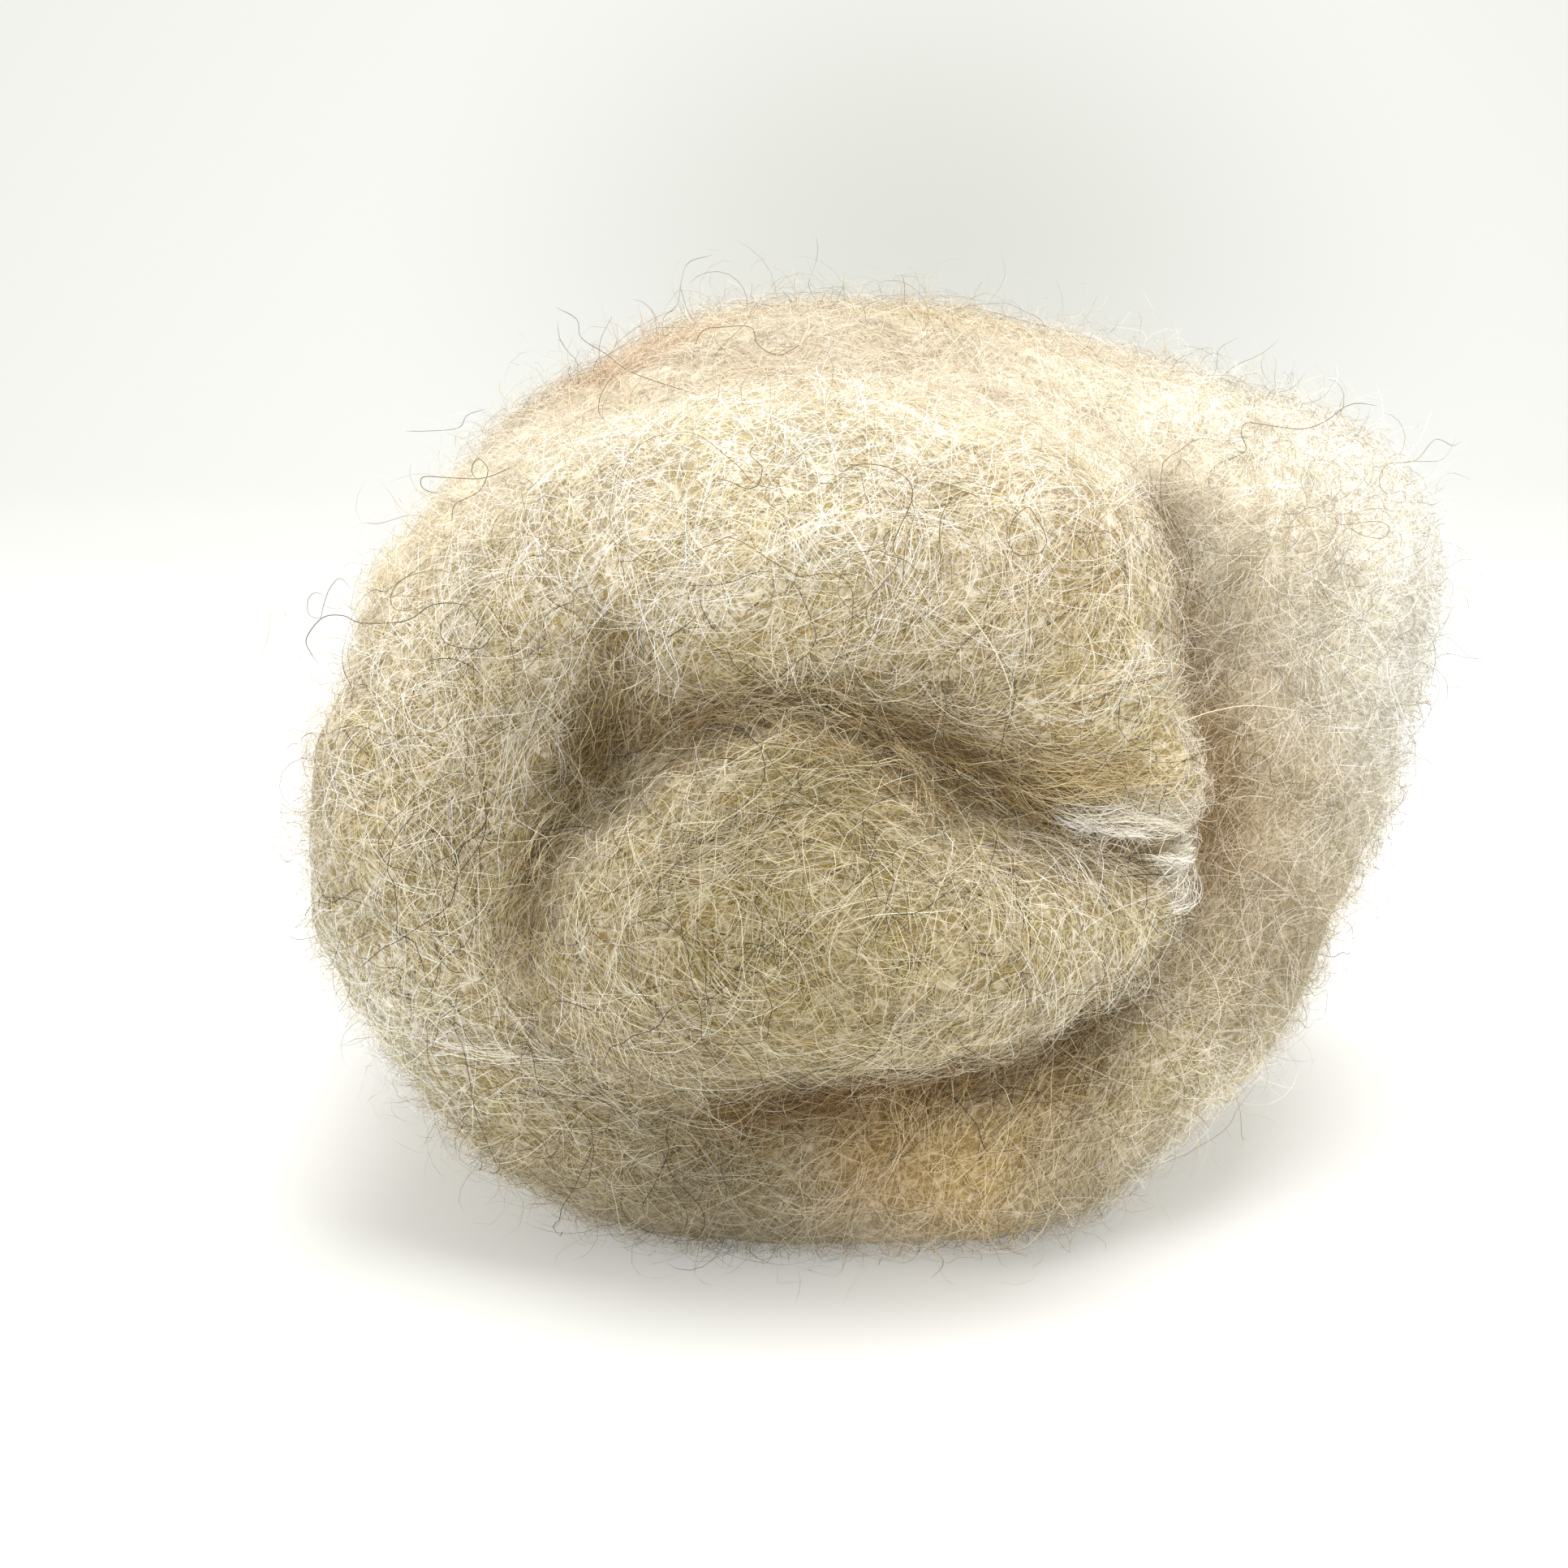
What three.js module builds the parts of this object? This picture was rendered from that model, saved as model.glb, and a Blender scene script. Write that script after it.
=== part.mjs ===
// A carded wool batt, rolled up and lying on its side: one lofty sheet of fibre,
// wound about an axis that runs front to back, with its turns pushed out of line.
// Millimetres, +X to the right, +Y to the back, +Z up. The origin is on the surface
// that the roll rests on, under the middle of its bounding box.
import * as THREE from "three";
import { mergeVertices } from "three/addons/utils/BufferGeometryUtils.js";

// Driving sizes of the bundle.
const FACET_RINGS = 20; // the ball that is drawn over the form has 20 * (rings + 1)^2 triangles
const HEART = new THREE.Vector3(-4, 12, 58); // a point well inside the core
const REACH = 150; // no part of the skin is further than this from the heart
const SEAM_SOFTNESS = 1.8; // how far two turns that touch are blended into each other
const RESTING_PLANE = 0;
const FLAT_SPOT_PLAY = 0.6; // skin this close to the resting plane lies flat on it
const RELAXING_ROUNDS = 40;
const RELAXING_SHARE = 0.5; // how far a point slides to the middle of its neighbours

// How finely the skin is found.
const MARCH_STEP = 1.5;
const HALVINGS = 12;
const SLOPE_STEP = 0.05;
const LEAST_STEEPNESS = 0.25;
const MERGE_WITHIN = 1e-5;

// The turns, from the core outwards. Each row is one place along a turn: where the middle of
// the sheet passes (x, z), half its thickness there, the y where its front and back ends
// begin to round off, and how far each rounded end stands out from there.
const CORE = [
  { x: -29, z: 54, half: 26, front: -44, back: 60, bulge: 17 },
  { x: -14, z: 54, half: 25, front: -45, back: 62, bulge: 17 },
  { x: 6, z: 53, half: 20, front: -43, back: 61, bulge: 16 },
  { x: 23, z: 53, half: 15, front: -39, back: 60, bulge: 14 },
];
const CORE_CURL = [
  { x: -30, z: 65, half: 13, front: -50, back: 58, bulge: 10 },
  { x: -19, z: 68, half: 14, front: -51, back: 58, bulge: 10 },
  { x: -8, z: 65, half: 13, front: -50, back: 58, bulge: 10 },
];
const UPPER_TURN = [
  { x: 35, z: 72, half: 6, front: -36, back: 46, bulge: 9 },
  { x: 27, z: 79, half: 10, front: -35, back: 46, bulge: 11 },
  { x: 20, z: 87, half: 15, front: -34, back: 46, bulge: 14 },
  { x: 14, z: 96, half: 21, front: -33, back: 48, bulge: 17 },
  { x: -2, z: 98, half: 23, front: -34, back: 50, bulge: 19 },
  { x: -20, z: 101, half: 23, front: -34, back: 50, bulge: 19 },
  { x: -42, z: 96, half: 20, front: -30, back: 48, bulge: 18 },
  { x: -61, z: 84, half: 17, front: -21, back: 46, bulge: 17 },
];
const OUTER_TURN = [
  { x: -62, z: 82, half: 17, front: -22, back: 50, bulge: 17 },
  { x: -69, z: 64, half: 18, front: -27, back: 52, bulge: 18 },
  { x: -66, z: 43, half: 18, front: -27, back: 52, bulge: 18 },
  { x: -50, z: 24, half: 18, front: -28, back: 52, bulge: 17 },
  { x: -20, z: 15, half: 17, front: -31, back: 52, bulge: 16 },
  { x: 8, z: 16, half: 18, front: -29, back: 52, bulge: 16 },
  { x: 32, z: 25, half: 18, front: -18, back: 52, bulge: 17 },
  { x: 50, z: 43, half: 18, front: -4, back: 54, bulge: 18 },
  { x: 59, z: 67, half: 19, front: 6, back: 56, bulge: 18 },
  { x: 66, z: 91, half: 18, front: 12, back: 56, bulge: 16 },
];
const LAST_TURN = [
  { x: 63, z: 97, half: 17, front: 16, back: 54, bulge: 15 },
  { x: 36, z: 106, half: 16, front: 14, back: 52, bulge: 16 },
  { x: 8, z: 114, half: 17, front: 12, back: 50, bulge: 16 },
  { x: -22, z: 114, half: 17, front: 12, back: 48, bulge: 16 },
  { x: -44, z: 106, half: 17, front: 10, back: 46, bulge: 16 },
  { x: -57, z: 96, half: 14, front: 8, back: 44, bulge: 16 },
];
const ROWS_BETWEEN = 3; // each turn is drawn through its rows as a smooth curve, in this many steps
const TURNS = [CORE, CORE_CURL, UPPER_TURN, OUTER_TURN, LAST_TURN].map(smoothed);

// Creases pressed into the front of the roll: a path (x, z), how wide the trough is there,
// and how deep.
const TUCK = [
  { x: -41, z: 97, width: 4, depth: 0 },
  { x: -43, z: 88, width: 4, depth: 8 },
  { x: -46, z: 79, width: 6, depth: 15 },
  { x: -54, z: 70, width: 5, depth: 6 },
  { x: -59, z: 56, width: 5, depth: 3 },
];
const PINCH = [
  { x: -46, z: 79, width: 5, depth: 4 },
  { x: -34, z: 83, width: 4, depth: 5 },
  { x: -18, z: 85, width: 4, depth: 2 },
  { x: -3, z: 77, width: 5, depth: 7 },
  { x: 10, z: 71, width: 5, depth: 5 },
  { x: 24, z: 68, width: 4, depth: 1 },
];
const CREASES = [TUCK, PINCH];
const CREASE_BACK = 0; // the creases end at this y
const CREASE_FADE = 20; // and are at their full depth this far in front of it

// The uneven loft of carded wool: a few long waves, each with its length and its height.
const SWELLS = [
  { length: 61, height: 0.8, along: [1, 0.4, 0.6], shift: 0.7 },
  { length: 43, height: 0.6, along: [-0.5, 1, 0.5], shift: 2.1 },
  { length: 29, height: 0.4, along: [0.6, -0.7, 1], shift: 4.4 },
];

const WOOL = new THREE.MeshStandardMaterial({
  color: 0xcdbf9f,
  roughness: 0.95,
  metalness: 0,
});

const mix = (a, b, t) => a + (b - a) * t;

// The rows of a turn with more rows between them, on a smooth curve through each column.
function smoothed(rows) {
  const curve = (first, second, third) =>
    new THREE.CatmullRomCurve3(
      rows.map((row) => new THREE.Vector3(row[first], row[second], row[third])),
    );
  const middle = curve("x", "z", "half");
  const ends = curve("front", "back", "bulge");
  const steps = (rows.length - 1) * ROWS_BETWEEN;
  return Array.from({ length: steps + 1 }, (_, i) => {
    const [at, end] = [middle.getPoint(i / steps), ends.getPoint(i / steps)];
    return { x: at.x, z: at.y, half: at.z, front: end.x, back: end.y, bulge: end.z };
  });
}

// How far along the stretch between two rows a point lies, from 0 to 1, seen from the front.
function shareAlong(point, from, to) {
  const alongX = to.x - from.x;
  const alongZ = to.z - from.z;
  const dot = (point.x - from.x) * alongX + (point.z - from.z) * alongZ;
  return THREE.MathUtils.clamp(dot / (alongX * alongX + alongZ * alongZ), 0, 1);
}

function distanceAcross(point, from, to, t) {
  return Math.hypot(point.x - mix(from.x, to.x, t), point.z - mix(from.z, to.z, t));
}

// Distance from a point to the stretch of sheet between two rows of a turn, below zero inside.
function stretchDistance(point, from, to) {
  const t = shareAlong(point, from, to);
  const half = mix(from.half, to.half, t);
  const bulge = mix(from.bulge, to.bulge, t);
  const front = mix(from.front, to.front, t);
  const back = mix(from.back, to.back, t);
  const beyond = Math.max(front - point.y, point.y - back, 0);
  return Math.hypot(distanceAcross(point, from, to, t), (beyond * half) / bulge) - half;
}

function turnDistance(point, turn) {
  let nearest = Infinity;
  for (let i = 0; i + 1 < turn.length; i++)
    nearest = Math.min(nearest, stretchDistance(point, turn[i], turn[i + 1]));
  return nearest;
}

function creaseDepth(point, crease) {
  let deepest = 0;
  for (let i = 0; i + 1 < crease.length; i++) {
    const [from, to] = [crease[i], crease[i + 1]];
    const t = shareAlong(point, from, to);
    const away = distanceAcross(point, from, to, t) / mix(from.width, to.width, t);
    deepest = Math.max(deepest, mix(from.depth, to.depth, t) * Math.exp(-away * away));
  }
  return deepest * THREE.MathUtils.clamp((CREASE_BACK - point.y) / CREASE_FADE, 0, 1);
}

function swell(point) {
  return SWELLS.reduce((sum, wave) => {
    const [x, y, z] = wave.along;
    const phase = (2 * Math.PI * (point.x * x + point.y * y + point.z * z)) / wave.length;
    return sum + wave.height * Math.sin(phase + wave.shift);
  }, 0);
}

// All the turns together, above the resting plane. Where two turns touch, a crease is left.
function rollDistance(point) {
  const nearness = TURNS.reduce(
    (sum, turn) => sum + Math.exp(-turnDistance(point, turn) / SEAM_SOFTNESS),
    0,
  );
  const creased = CREASES.reduce((sum, crease) => sum + creaseDepth(point, crease), 0);
  const wound = -SEAM_SOFTNESS * Math.log(nearness) - swell(point) + creased;
  return Math.max(wound, RESTING_PLANE - point.z);
}

// The way straight out of the roll at a point, as long as the distance's own slope.
function slopeAt(point) {
  const along = (axis) => {
    const step = new THREE.Vector3().setComponent(axis, SLOPE_STEP);
    const ahead = rollDistance(point.clone().add(step));
    return (ahead - rollDistance(point.clone().sub(step))) / (2 * SLOPE_STEP);
  };
  return new THREE.Vector3(along(0), along(1), along(2));
}

function ontoSkin(point) {
  const slope = slopeAt(point);
  const steepness = Math.max(slope.lengthSq(), LEAST_STEEPNESS);
  return point.clone().addScaledVector(slope, -rollDistance(point) / steepness);
}

// The skin's distance from the heart in one direction: march inwards, then halve the step.
function skinRadius(direction) {
  const at = (radius) => rollDistance(HEART.clone().addScaledVector(direction, radius));
  let outside = REACH;
  while (at(outside - MARCH_STEP) > 0) outside -= MARCH_STEP;
  let inside = outside - MARCH_STEP;
  for (let i = 0; i < HALVINGS; i++) {
    const middle = (inside + outside) / 2;
    if (at(middle) > 0) outside = middle;
    else inside = middle;
  }
  return inside;
}

function neighboursOf(index, count) {
  const sets = Array.from({ length: count }, () => new Set());
  for (let i = 0; i < index.length; i += 3)
    for (let k = 0; k < 3; k++) {
      const from = index[i + k];
      const to = index[i + ((k + 1) % 3)];
      sets[from].add(to);
      sets[to].add(from);
    }
  return sets.map((set) => [...set]);
}

// Evens out the mesh: each point slides to the middle of its neighbours and back onto the skin.
function relax(points, neighbours) {
  for (let round = 0; round < RELAXING_ROUNDS; round++) {
    const slid = points.map((point, i) => {
      const middle = new THREE.Vector3();
      neighbours[i].forEach((n) => middle.add(points[n]));
      middle.divideScalar(neighbours[i].length);
      return ontoSkin(point.clone().lerp(middle, RELAXING_SHARE));
    });
    slid.forEach((point, i) => points[i].copy(point));
  }
}

function rolledBatt() {
  const ball = new THREE.IcosahedronGeometry(1, FACET_RINGS);
  ball.deleteAttribute("normal");
  ball.deleteAttribute("uv");
  const skin = mergeVertices(ball, MERGE_WITHIN);
  const place = skin.getAttribute("position");
  const points = Array.from({ length: place.count }, (_, i) => {
    const direction = new THREE.Vector3().fromBufferAttribute(place, i).normalize();
    return HEART.clone().addScaledVector(direction, skinRadius(direction));
  });
  relax(points, neighboursOf(skin.index.array, place.count));
  points.forEach((point, i) => {
    const rests = point.z < RESTING_PLANE + FLAT_SPOT_PLAY;
    place.setXYZ(i, point.x, point.y, rests ? RESTING_PLANE : point.z);
  });
  skin.computeVertexNormals();
  skin.computeBoundingBox();
  const middle = skin.boundingBox.getCenter(new THREE.Vector3());
  skin.translate(-middle.x, -middle.y, 0);
  return skin;
}

const roll = new THREE.Mesh(rolledBatt(), WOOL);
roll.name = "rolled_batt";

const bundle = new THREE.Group();
bundle.add(roll);

export default bundle;
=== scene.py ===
# %% [markdown]
# # A rolled wool fiber batt
#
# A batt is what comes off a drum carder: a lofty sheet of combed wool, here rolled up and
# laid on its side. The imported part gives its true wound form. This lesson dresses it: first
# the dense mat that the eye can't see into, then the loose fibres on it, layer by layer.

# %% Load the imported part
import math

import bmesh
import bpy
import numpy as np
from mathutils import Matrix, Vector
from mathutils.bvhtree import BVHTree


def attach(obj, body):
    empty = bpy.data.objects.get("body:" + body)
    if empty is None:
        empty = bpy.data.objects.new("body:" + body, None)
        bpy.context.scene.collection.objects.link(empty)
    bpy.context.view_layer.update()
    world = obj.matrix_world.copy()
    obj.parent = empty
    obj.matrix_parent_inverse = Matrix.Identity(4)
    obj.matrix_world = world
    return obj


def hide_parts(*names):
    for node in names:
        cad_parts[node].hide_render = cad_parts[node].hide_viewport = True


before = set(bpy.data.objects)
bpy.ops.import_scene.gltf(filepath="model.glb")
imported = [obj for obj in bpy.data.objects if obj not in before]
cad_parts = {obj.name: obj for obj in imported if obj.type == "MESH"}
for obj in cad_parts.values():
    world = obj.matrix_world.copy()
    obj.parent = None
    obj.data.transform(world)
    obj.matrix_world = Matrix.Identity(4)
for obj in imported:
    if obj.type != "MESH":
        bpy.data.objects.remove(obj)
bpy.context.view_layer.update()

MM = 0.001
chance = np.random.default_rng(41)

# %% [markdown]
# ## Camera
# The photographer stood close and a little above the roll, facing the end of its axis. A
# camera at the same angle and distance gives the same perspective. The focal length is
# worked out from how many pixels of the frame one radian spans, so that the roll fills the
# frame as it does in the photo.

# %% Camera
ELEVATION = math.radians(15)
CAMERA_DISTANCE = 340 * MM
LOOKED_AT = Vector((-16.2, -8.7, 61)) * MM
FRAME_SIDE = 1932  # pixels of the photo
PIXELS_PER_RADIAN = 2720
SENSOR = 36  # millimetres, as a lens is counted

TO_CAMERA = Vector((0, -math.cos(ELEVATION), math.sin(ELEVATION)))
bpy.ops.object.camera_add(
    location=LOOKED_AT + TO_CAMERA * CAMERA_DISTANCE, rotation=(math.pi / 2 - ELEVATION, 0, 0)
)
camera = bpy.context.object
camera.data.sensor_width = SENSOR
camera.data.lens = PIXELS_PER_RADIAN * SENSOR / FRAME_SIDE
camera.data.clip_start = 10 * MM
bpy.context.scene.camera = camera
bpy.context.scene.view_settings.view_transform = "Standard"
print("lens", round(camera.data.lens, 2), "mm")

# %% [markdown]
# ## Two small helpers
# Colours are picked as the sRGB hex codes that a screen shows, but a shader counts in linear
# light, so one function turns them. Another adds a node, sets it and links it in one call,
# which keeps a node tree readable as a list of steps.


# %% Helpers for colours and nodes
def linear(hex_code):
    channels = [int(hex_code[i : i + 2], 16) / 255 for i in (1, 3, 5)]
    return tuple(
        c / 12.92 if c <= 0.04045 else ((c + 0.055) / 1.055) ** 2.4 for c in channels
    )


def add_node(tree, kind, settings=None, **inputs):
    node = tree.nodes.new(kind)
    for name, value in (settings or {}).items():
        setattr(node, name, value)
    for name, value in inputs.items():
        socket = node.inputs[int(name[1:])] if name[1:].isdigit() else node.inputs[name]
        if isinstance(value, bpy.types.NodeSocket):
            tree.links.new(value, socket)
        else:
            socket.default_value = value
    return node


def new_material(name):
    material = bpy.data.materials.new(name)
    material.use_nodes = True
    material.node_tree.nodes.clear()
    return material, material.node_tree


# %% [markdown]
# ## Studio
# The roll lies on white paper that sweeps up behind it, so there is no corner. The sweep is a
# plane whose far edge is pulled up and whose fold is then rounded with a bevel.

# %% Paper sweep
SWEEP_WIDTH = 4.0
SWEEP_FOLD = 0.85  # metres behind the roll
SWEEP_HEIGHT = 1.6
SWEEP_ROUNDING = 0.45


def select_edges(piece, wanted):
    """Select only the edges whose two ends are both wanted."""
    shape = bmesh.from_edit_mesh(piece.data)
    bpy.ops.mesh.select_all(action="DESELECT")
    for edge in shape.edges:
        if all(wanted(v.co) for v in edge.verts):
            edge.select_set(True)
    bmesh.update_edit_mesh(piece.data)


bpy.ops.object.select_all(action="DESELECT")
bpy.ops.mesh.primitive_plane_add(size=SWEEP_WIDTH)
sweep = bpy.context.object
sweep.name = "paper_sweep"
sweep.location = (0, SWEEP_FOLD - SWEEP_WIDTH / 2, 0)
bpy.ops.object.transform_apply(location=True)
bpy.ops.object.mode_set(mode="EDIT")
select_edges(sweep, lambda place: place.y > SWEEP_FOLD - MM)
bpy.ops.mesh.extrude_region_move(TRANSFORM_OT_translate={"value": (0, 0, SWEEP_HEIGHT)})
select_edges(sweep, lambda place: place.y > SWEEP_FOLD - MM and place.z < MM)
bpy.ops.mesh.bevel(offset=SWEEP_ROUNDING, segments=32)
bpy.ops.object.mode_set(mode="OBJECT")
bpy.ops.object.shade_smooth()
print("sweep", len(sweep.data.polygons), "faces")

# %% [markdown]
# In the photo the floor is burnt out to white, and the paper behind the roll fades to a pale grey,
# darkest just over the roll. That fading is painted shade: a colour ramp on height paints the paper
# greyer up the sweep, and a smooth spot round the darkest place is a painted shadow. The paper also
# glows a little, which is painted light and keeps the shadow pale.

# %% Paper
PAPER_PAINTED_SHADE = [
    # metres above the floor, and the paper's colour there, greyer higher up as painted shade
    (-0.02, "#cbcbc9"),
    (0.001, "#c9c9c7"),
    (0.006, "#bebfbc"),
    (0.016, "#b7b8b5"),
    (0.035, "#b2b3b0"),
    (0.60, "#b2b3b0"),
]
# a painted shadow: a darker spot on the paper just over the roll
PAINTED_SHADOW_SPOT = (0.05, 0.72, 0.11)
PAINTED_SHADOW_REACH = 0.28
PAINTED_SHADOW_COLOUR = "#979892"
# the paper's glow is painted light, for the paper is no lamp
PAINTED_GLOW_COLOUR = "#fffffa"
PAPER_PAINTED_GLOW = 0.27

paper, tree = new_material("white_matte_paper")
place = add_node(tree, "ShaderNodeTexCoord").outputs["Object"]
height = add_node(tree, "ShaderNodeSeparateXYZ", Vector=place).outputs["Z"]
lowest, highest = PAPER_PAINTED_SHADE[0][0], PAPER_PAINTED_SHADE[-1][0]
rise = add_node(tree, "ShaderNodeMapRange", _0=height, _1=lowest, _2=highest).outputs["Result"]
ramp = add_node(tree, "ShaderNodeValToRGB", Fac=rise)
ramp.color_ramp.interpolation = "EASE"
for metres, code in PAPER_PAINTED_SHADE[1:-1]:
    stop = ramp.color_ramp.elements.new((metres - lowest) / (highest - lowest))
    stop.color = (*linear(code), 1)
ramp.color_ramp.elements[0].color = (*linear(PAPER_PAINTED_SHADE[0][1]), 1)
ramp.color_ramp.elements[-1].color = (*linear(PAPER_PAINTED_SHADE[-1][1]), 1)
away = add_node(
    tree, "ShaderNodeVectorMath", {"operation": "DISTANCE"}, _0=place, _1=PAINTED_SHADOW_SPOT
).outputs["Value"]
spot = add_node(
    tree, "ShaderNodeMapRange", {"interpolation_type": "SMOOTHSTEP"}, _0=away, _1=0.0,
    _2=PAINTED_SHADOW_REACH, _3=1.0, _4=0.0,
).outputs["Result"]
shade = add_node(
    tree, "ShaderNodeMix", {"data_type": "RGBA"}, Factor=spot,
    _6=ramp.outputs["Color"], _7=(*linear(PAINTED_SHADOW_COLOUR), 1),
).outputs[2]
shader = add_node(tree, "ShaderNodeBsdfPrincipled", Roughness=0.95)
tree.links.new(shade, shader.inputs["Base Color"])
shader.inputs["Emission Color"].default_value = (*linear(PAINTED_GLOW_COLOUR), 1)
shader.inputs["Emission Strength"].default_value = PAPER_PAINTED_GLOW
add_node(tree, "ShaderNodeOutputMaterial", Surface=shader.outputs["BSDF"])
sweep.data.materials.append(paper)
print("paper", len(PAPER_PAINTED_SHADE), "greys")

# %% [markdown]
# The light is a big soft box overhead, a weaker one in front, and a pale room all round. That is
# why the top of the roll is nearly white, its front is a little darker, and its shadow is a soft
# grey pool; painted shade on the front of the roll and the paper's painted glow add to this.


# %% Lights
def soft_box(name, place, aim, side, watts, tint):
    bpy.ops.object.light_add(type="AREA", location=place)
    lamp = bpy.context.object
    lamp.name = name
    lamp.data.shape = "SQUARE"
    lamp.data.size = side
    lamp.data.energy = watts
    lamp.data.color = tint
    lamp.rotation_euler = (Vector(aim) - Vector(place)).to_track_quat("-Z", "Y").to_euler()


MIDDLE = (0, 0, 0.05)
LIGHTS = [
    # places and sides in metres
    {
        "name": "overhead", "place": (0.06, -0.03, 0.85), "aim": MIDDLE, "side": 0.6,
        "watts": 9.3, "tint": (1.0, 0.99, 0.975),
    },
    {
        "name": "front_fill", "place": (-0.1, -1.2, 0.35), "aim": MIDDLE, "side": 0.8,
        "watts": 5.0, "tint": (1.0, 0.99, 0.97),
    },
]
ROOM_TINT = (1.0, 1.0, 0.99)
ROOM_STRENGTH = 0.8

for light in LIGHTS:
    soft_box(**light)

room = bpy.data.worlds.new("pale_room")
bpy.context.scene.world = room
room.use_nodes = True
background = room.node_tree.nodes["Background"]
background.inputs["Color"].default_value = (*ROOM_TINT, 1)
background.inputs["Strength"].default_value = ROOM_STRENGTH
print(len(LIGHTS), "soft boxes and a pale room")

# %% [markdown]
# ## The mat
# Seen close, a batt has no surface: fibres get denser over a few millimetres until nothing
# shows through. That dense layer is modelled as a solid mat. It starts as a copy of the CAD
# skin, which is smoothed by a subdivision and given small even faces by a voxel remesh.

# %% A copy of the skin, with small even faces
VOXEL = 1.9 * MM
SMOOTHINGS = 6

bpy.ops.object.select_all(action="DESELECT")
mat = bpy.data.objects.new("wool_mat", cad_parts["rolled_batt"].data.copy())
bpy.context.scene.collection.objects.link(mat)
bpy.context.view_layer.objects.active = mat
mat.select_set(True)
bpy.ops.object.mode_set(mode="EDIT")
bpy.ops.mesh.select_all(action="SELECT")
bpy.ops.mesh.remove_doubles(threshold=0.01 * MM)
bpy.ops.object.mode_set(mode="OBJECT")


def finish_with(piece, name, kind, **settings):
    modifier = piece.modifiers.new(name, kind)
    for key, value in settings.items():
        setattr(modifier, key, value)
    bpy.context.view_layer.objects.active = piece
    bpy.ops.object.modifier_apply(modifier=name)


finish_with(mat, "rounding", "SUBSURF", levels=1, render_levels=1)
finish_with(mat, "even_faces", "REMESH", mode="VOXEL", voxel_size=VOXEL)
finish_with(mat, "smoothing", "SMOOTH", factor=0.5, iterations=SMOOTHINGS)
print("mat", len(mat.data.polygons), "faces")

# %% [markdown]
# A few places are then pulled, like clay. The core's lower edge goes up a little and the pinch over
# it comes down, so that the shadows round it lie where the photo shows them.
# The left shoulder is filled out. The left side under it and the right end of the upper turn
# are drawn in. The flap behind that end and the wool over the tuck come forward.

# %% Pulls
PULLS = [
    # place and reach in millimetres, and how far it moves there
    {"at": (0, -54, 27), "reach": 13, "move": (0, 0, 1.5)},
    {"at": (28, -48, 34), "reach": 12, "move": (0, 0, 1.5)},
    {"at": (-74, -12, 98), "reach": 20, "move": (-2.8, 0, 2.2)},
    {"at": (-62, -20, 110), "reach": 14, "move": (-1, 0, 1.5)},
    {"at": (-86, -10, 60), "reach": 20, "move": (1.5, 0, 0)},
    {"at": (44, -20, 97), "reach": 13, "move": (-4.5, 0, 0)},
    {"at": (49, -20, 82), "reach": 13, "move": (-3.5, 0, 0)},
    {"at": (53, -6, 100), "reach": 12, "move": (0, -5, 1)},
    {"at": (-38, -44, 87), "reach": 8, "move": (0, -3, 0)},
    {"at": (4, -48, 79), "reach": 8, "move": (0, 0, -2.5)},
]


def vertex_array(mesh, attribute):
    values = np.empty(len(mesh.vertices) * 3)
    mesh.vertices.foreach_get(attribute, values)
    return values.reshape(-1, 3)


def set_points(mesh, points):
    mesh.vertices.foreach_set("co", points.ravel())
    mesh.update()


points = vertex_array(mat.data, "co") / MM
for pull in PULLS:
    away = np.linalg.norm(points - np.array(pull["at"]), axis=1) / pull["reach"]
    points += np.exp(-(away**2))[:, None] * np.array(pull["move"])
set_points(mat.data, points * MM)
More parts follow.
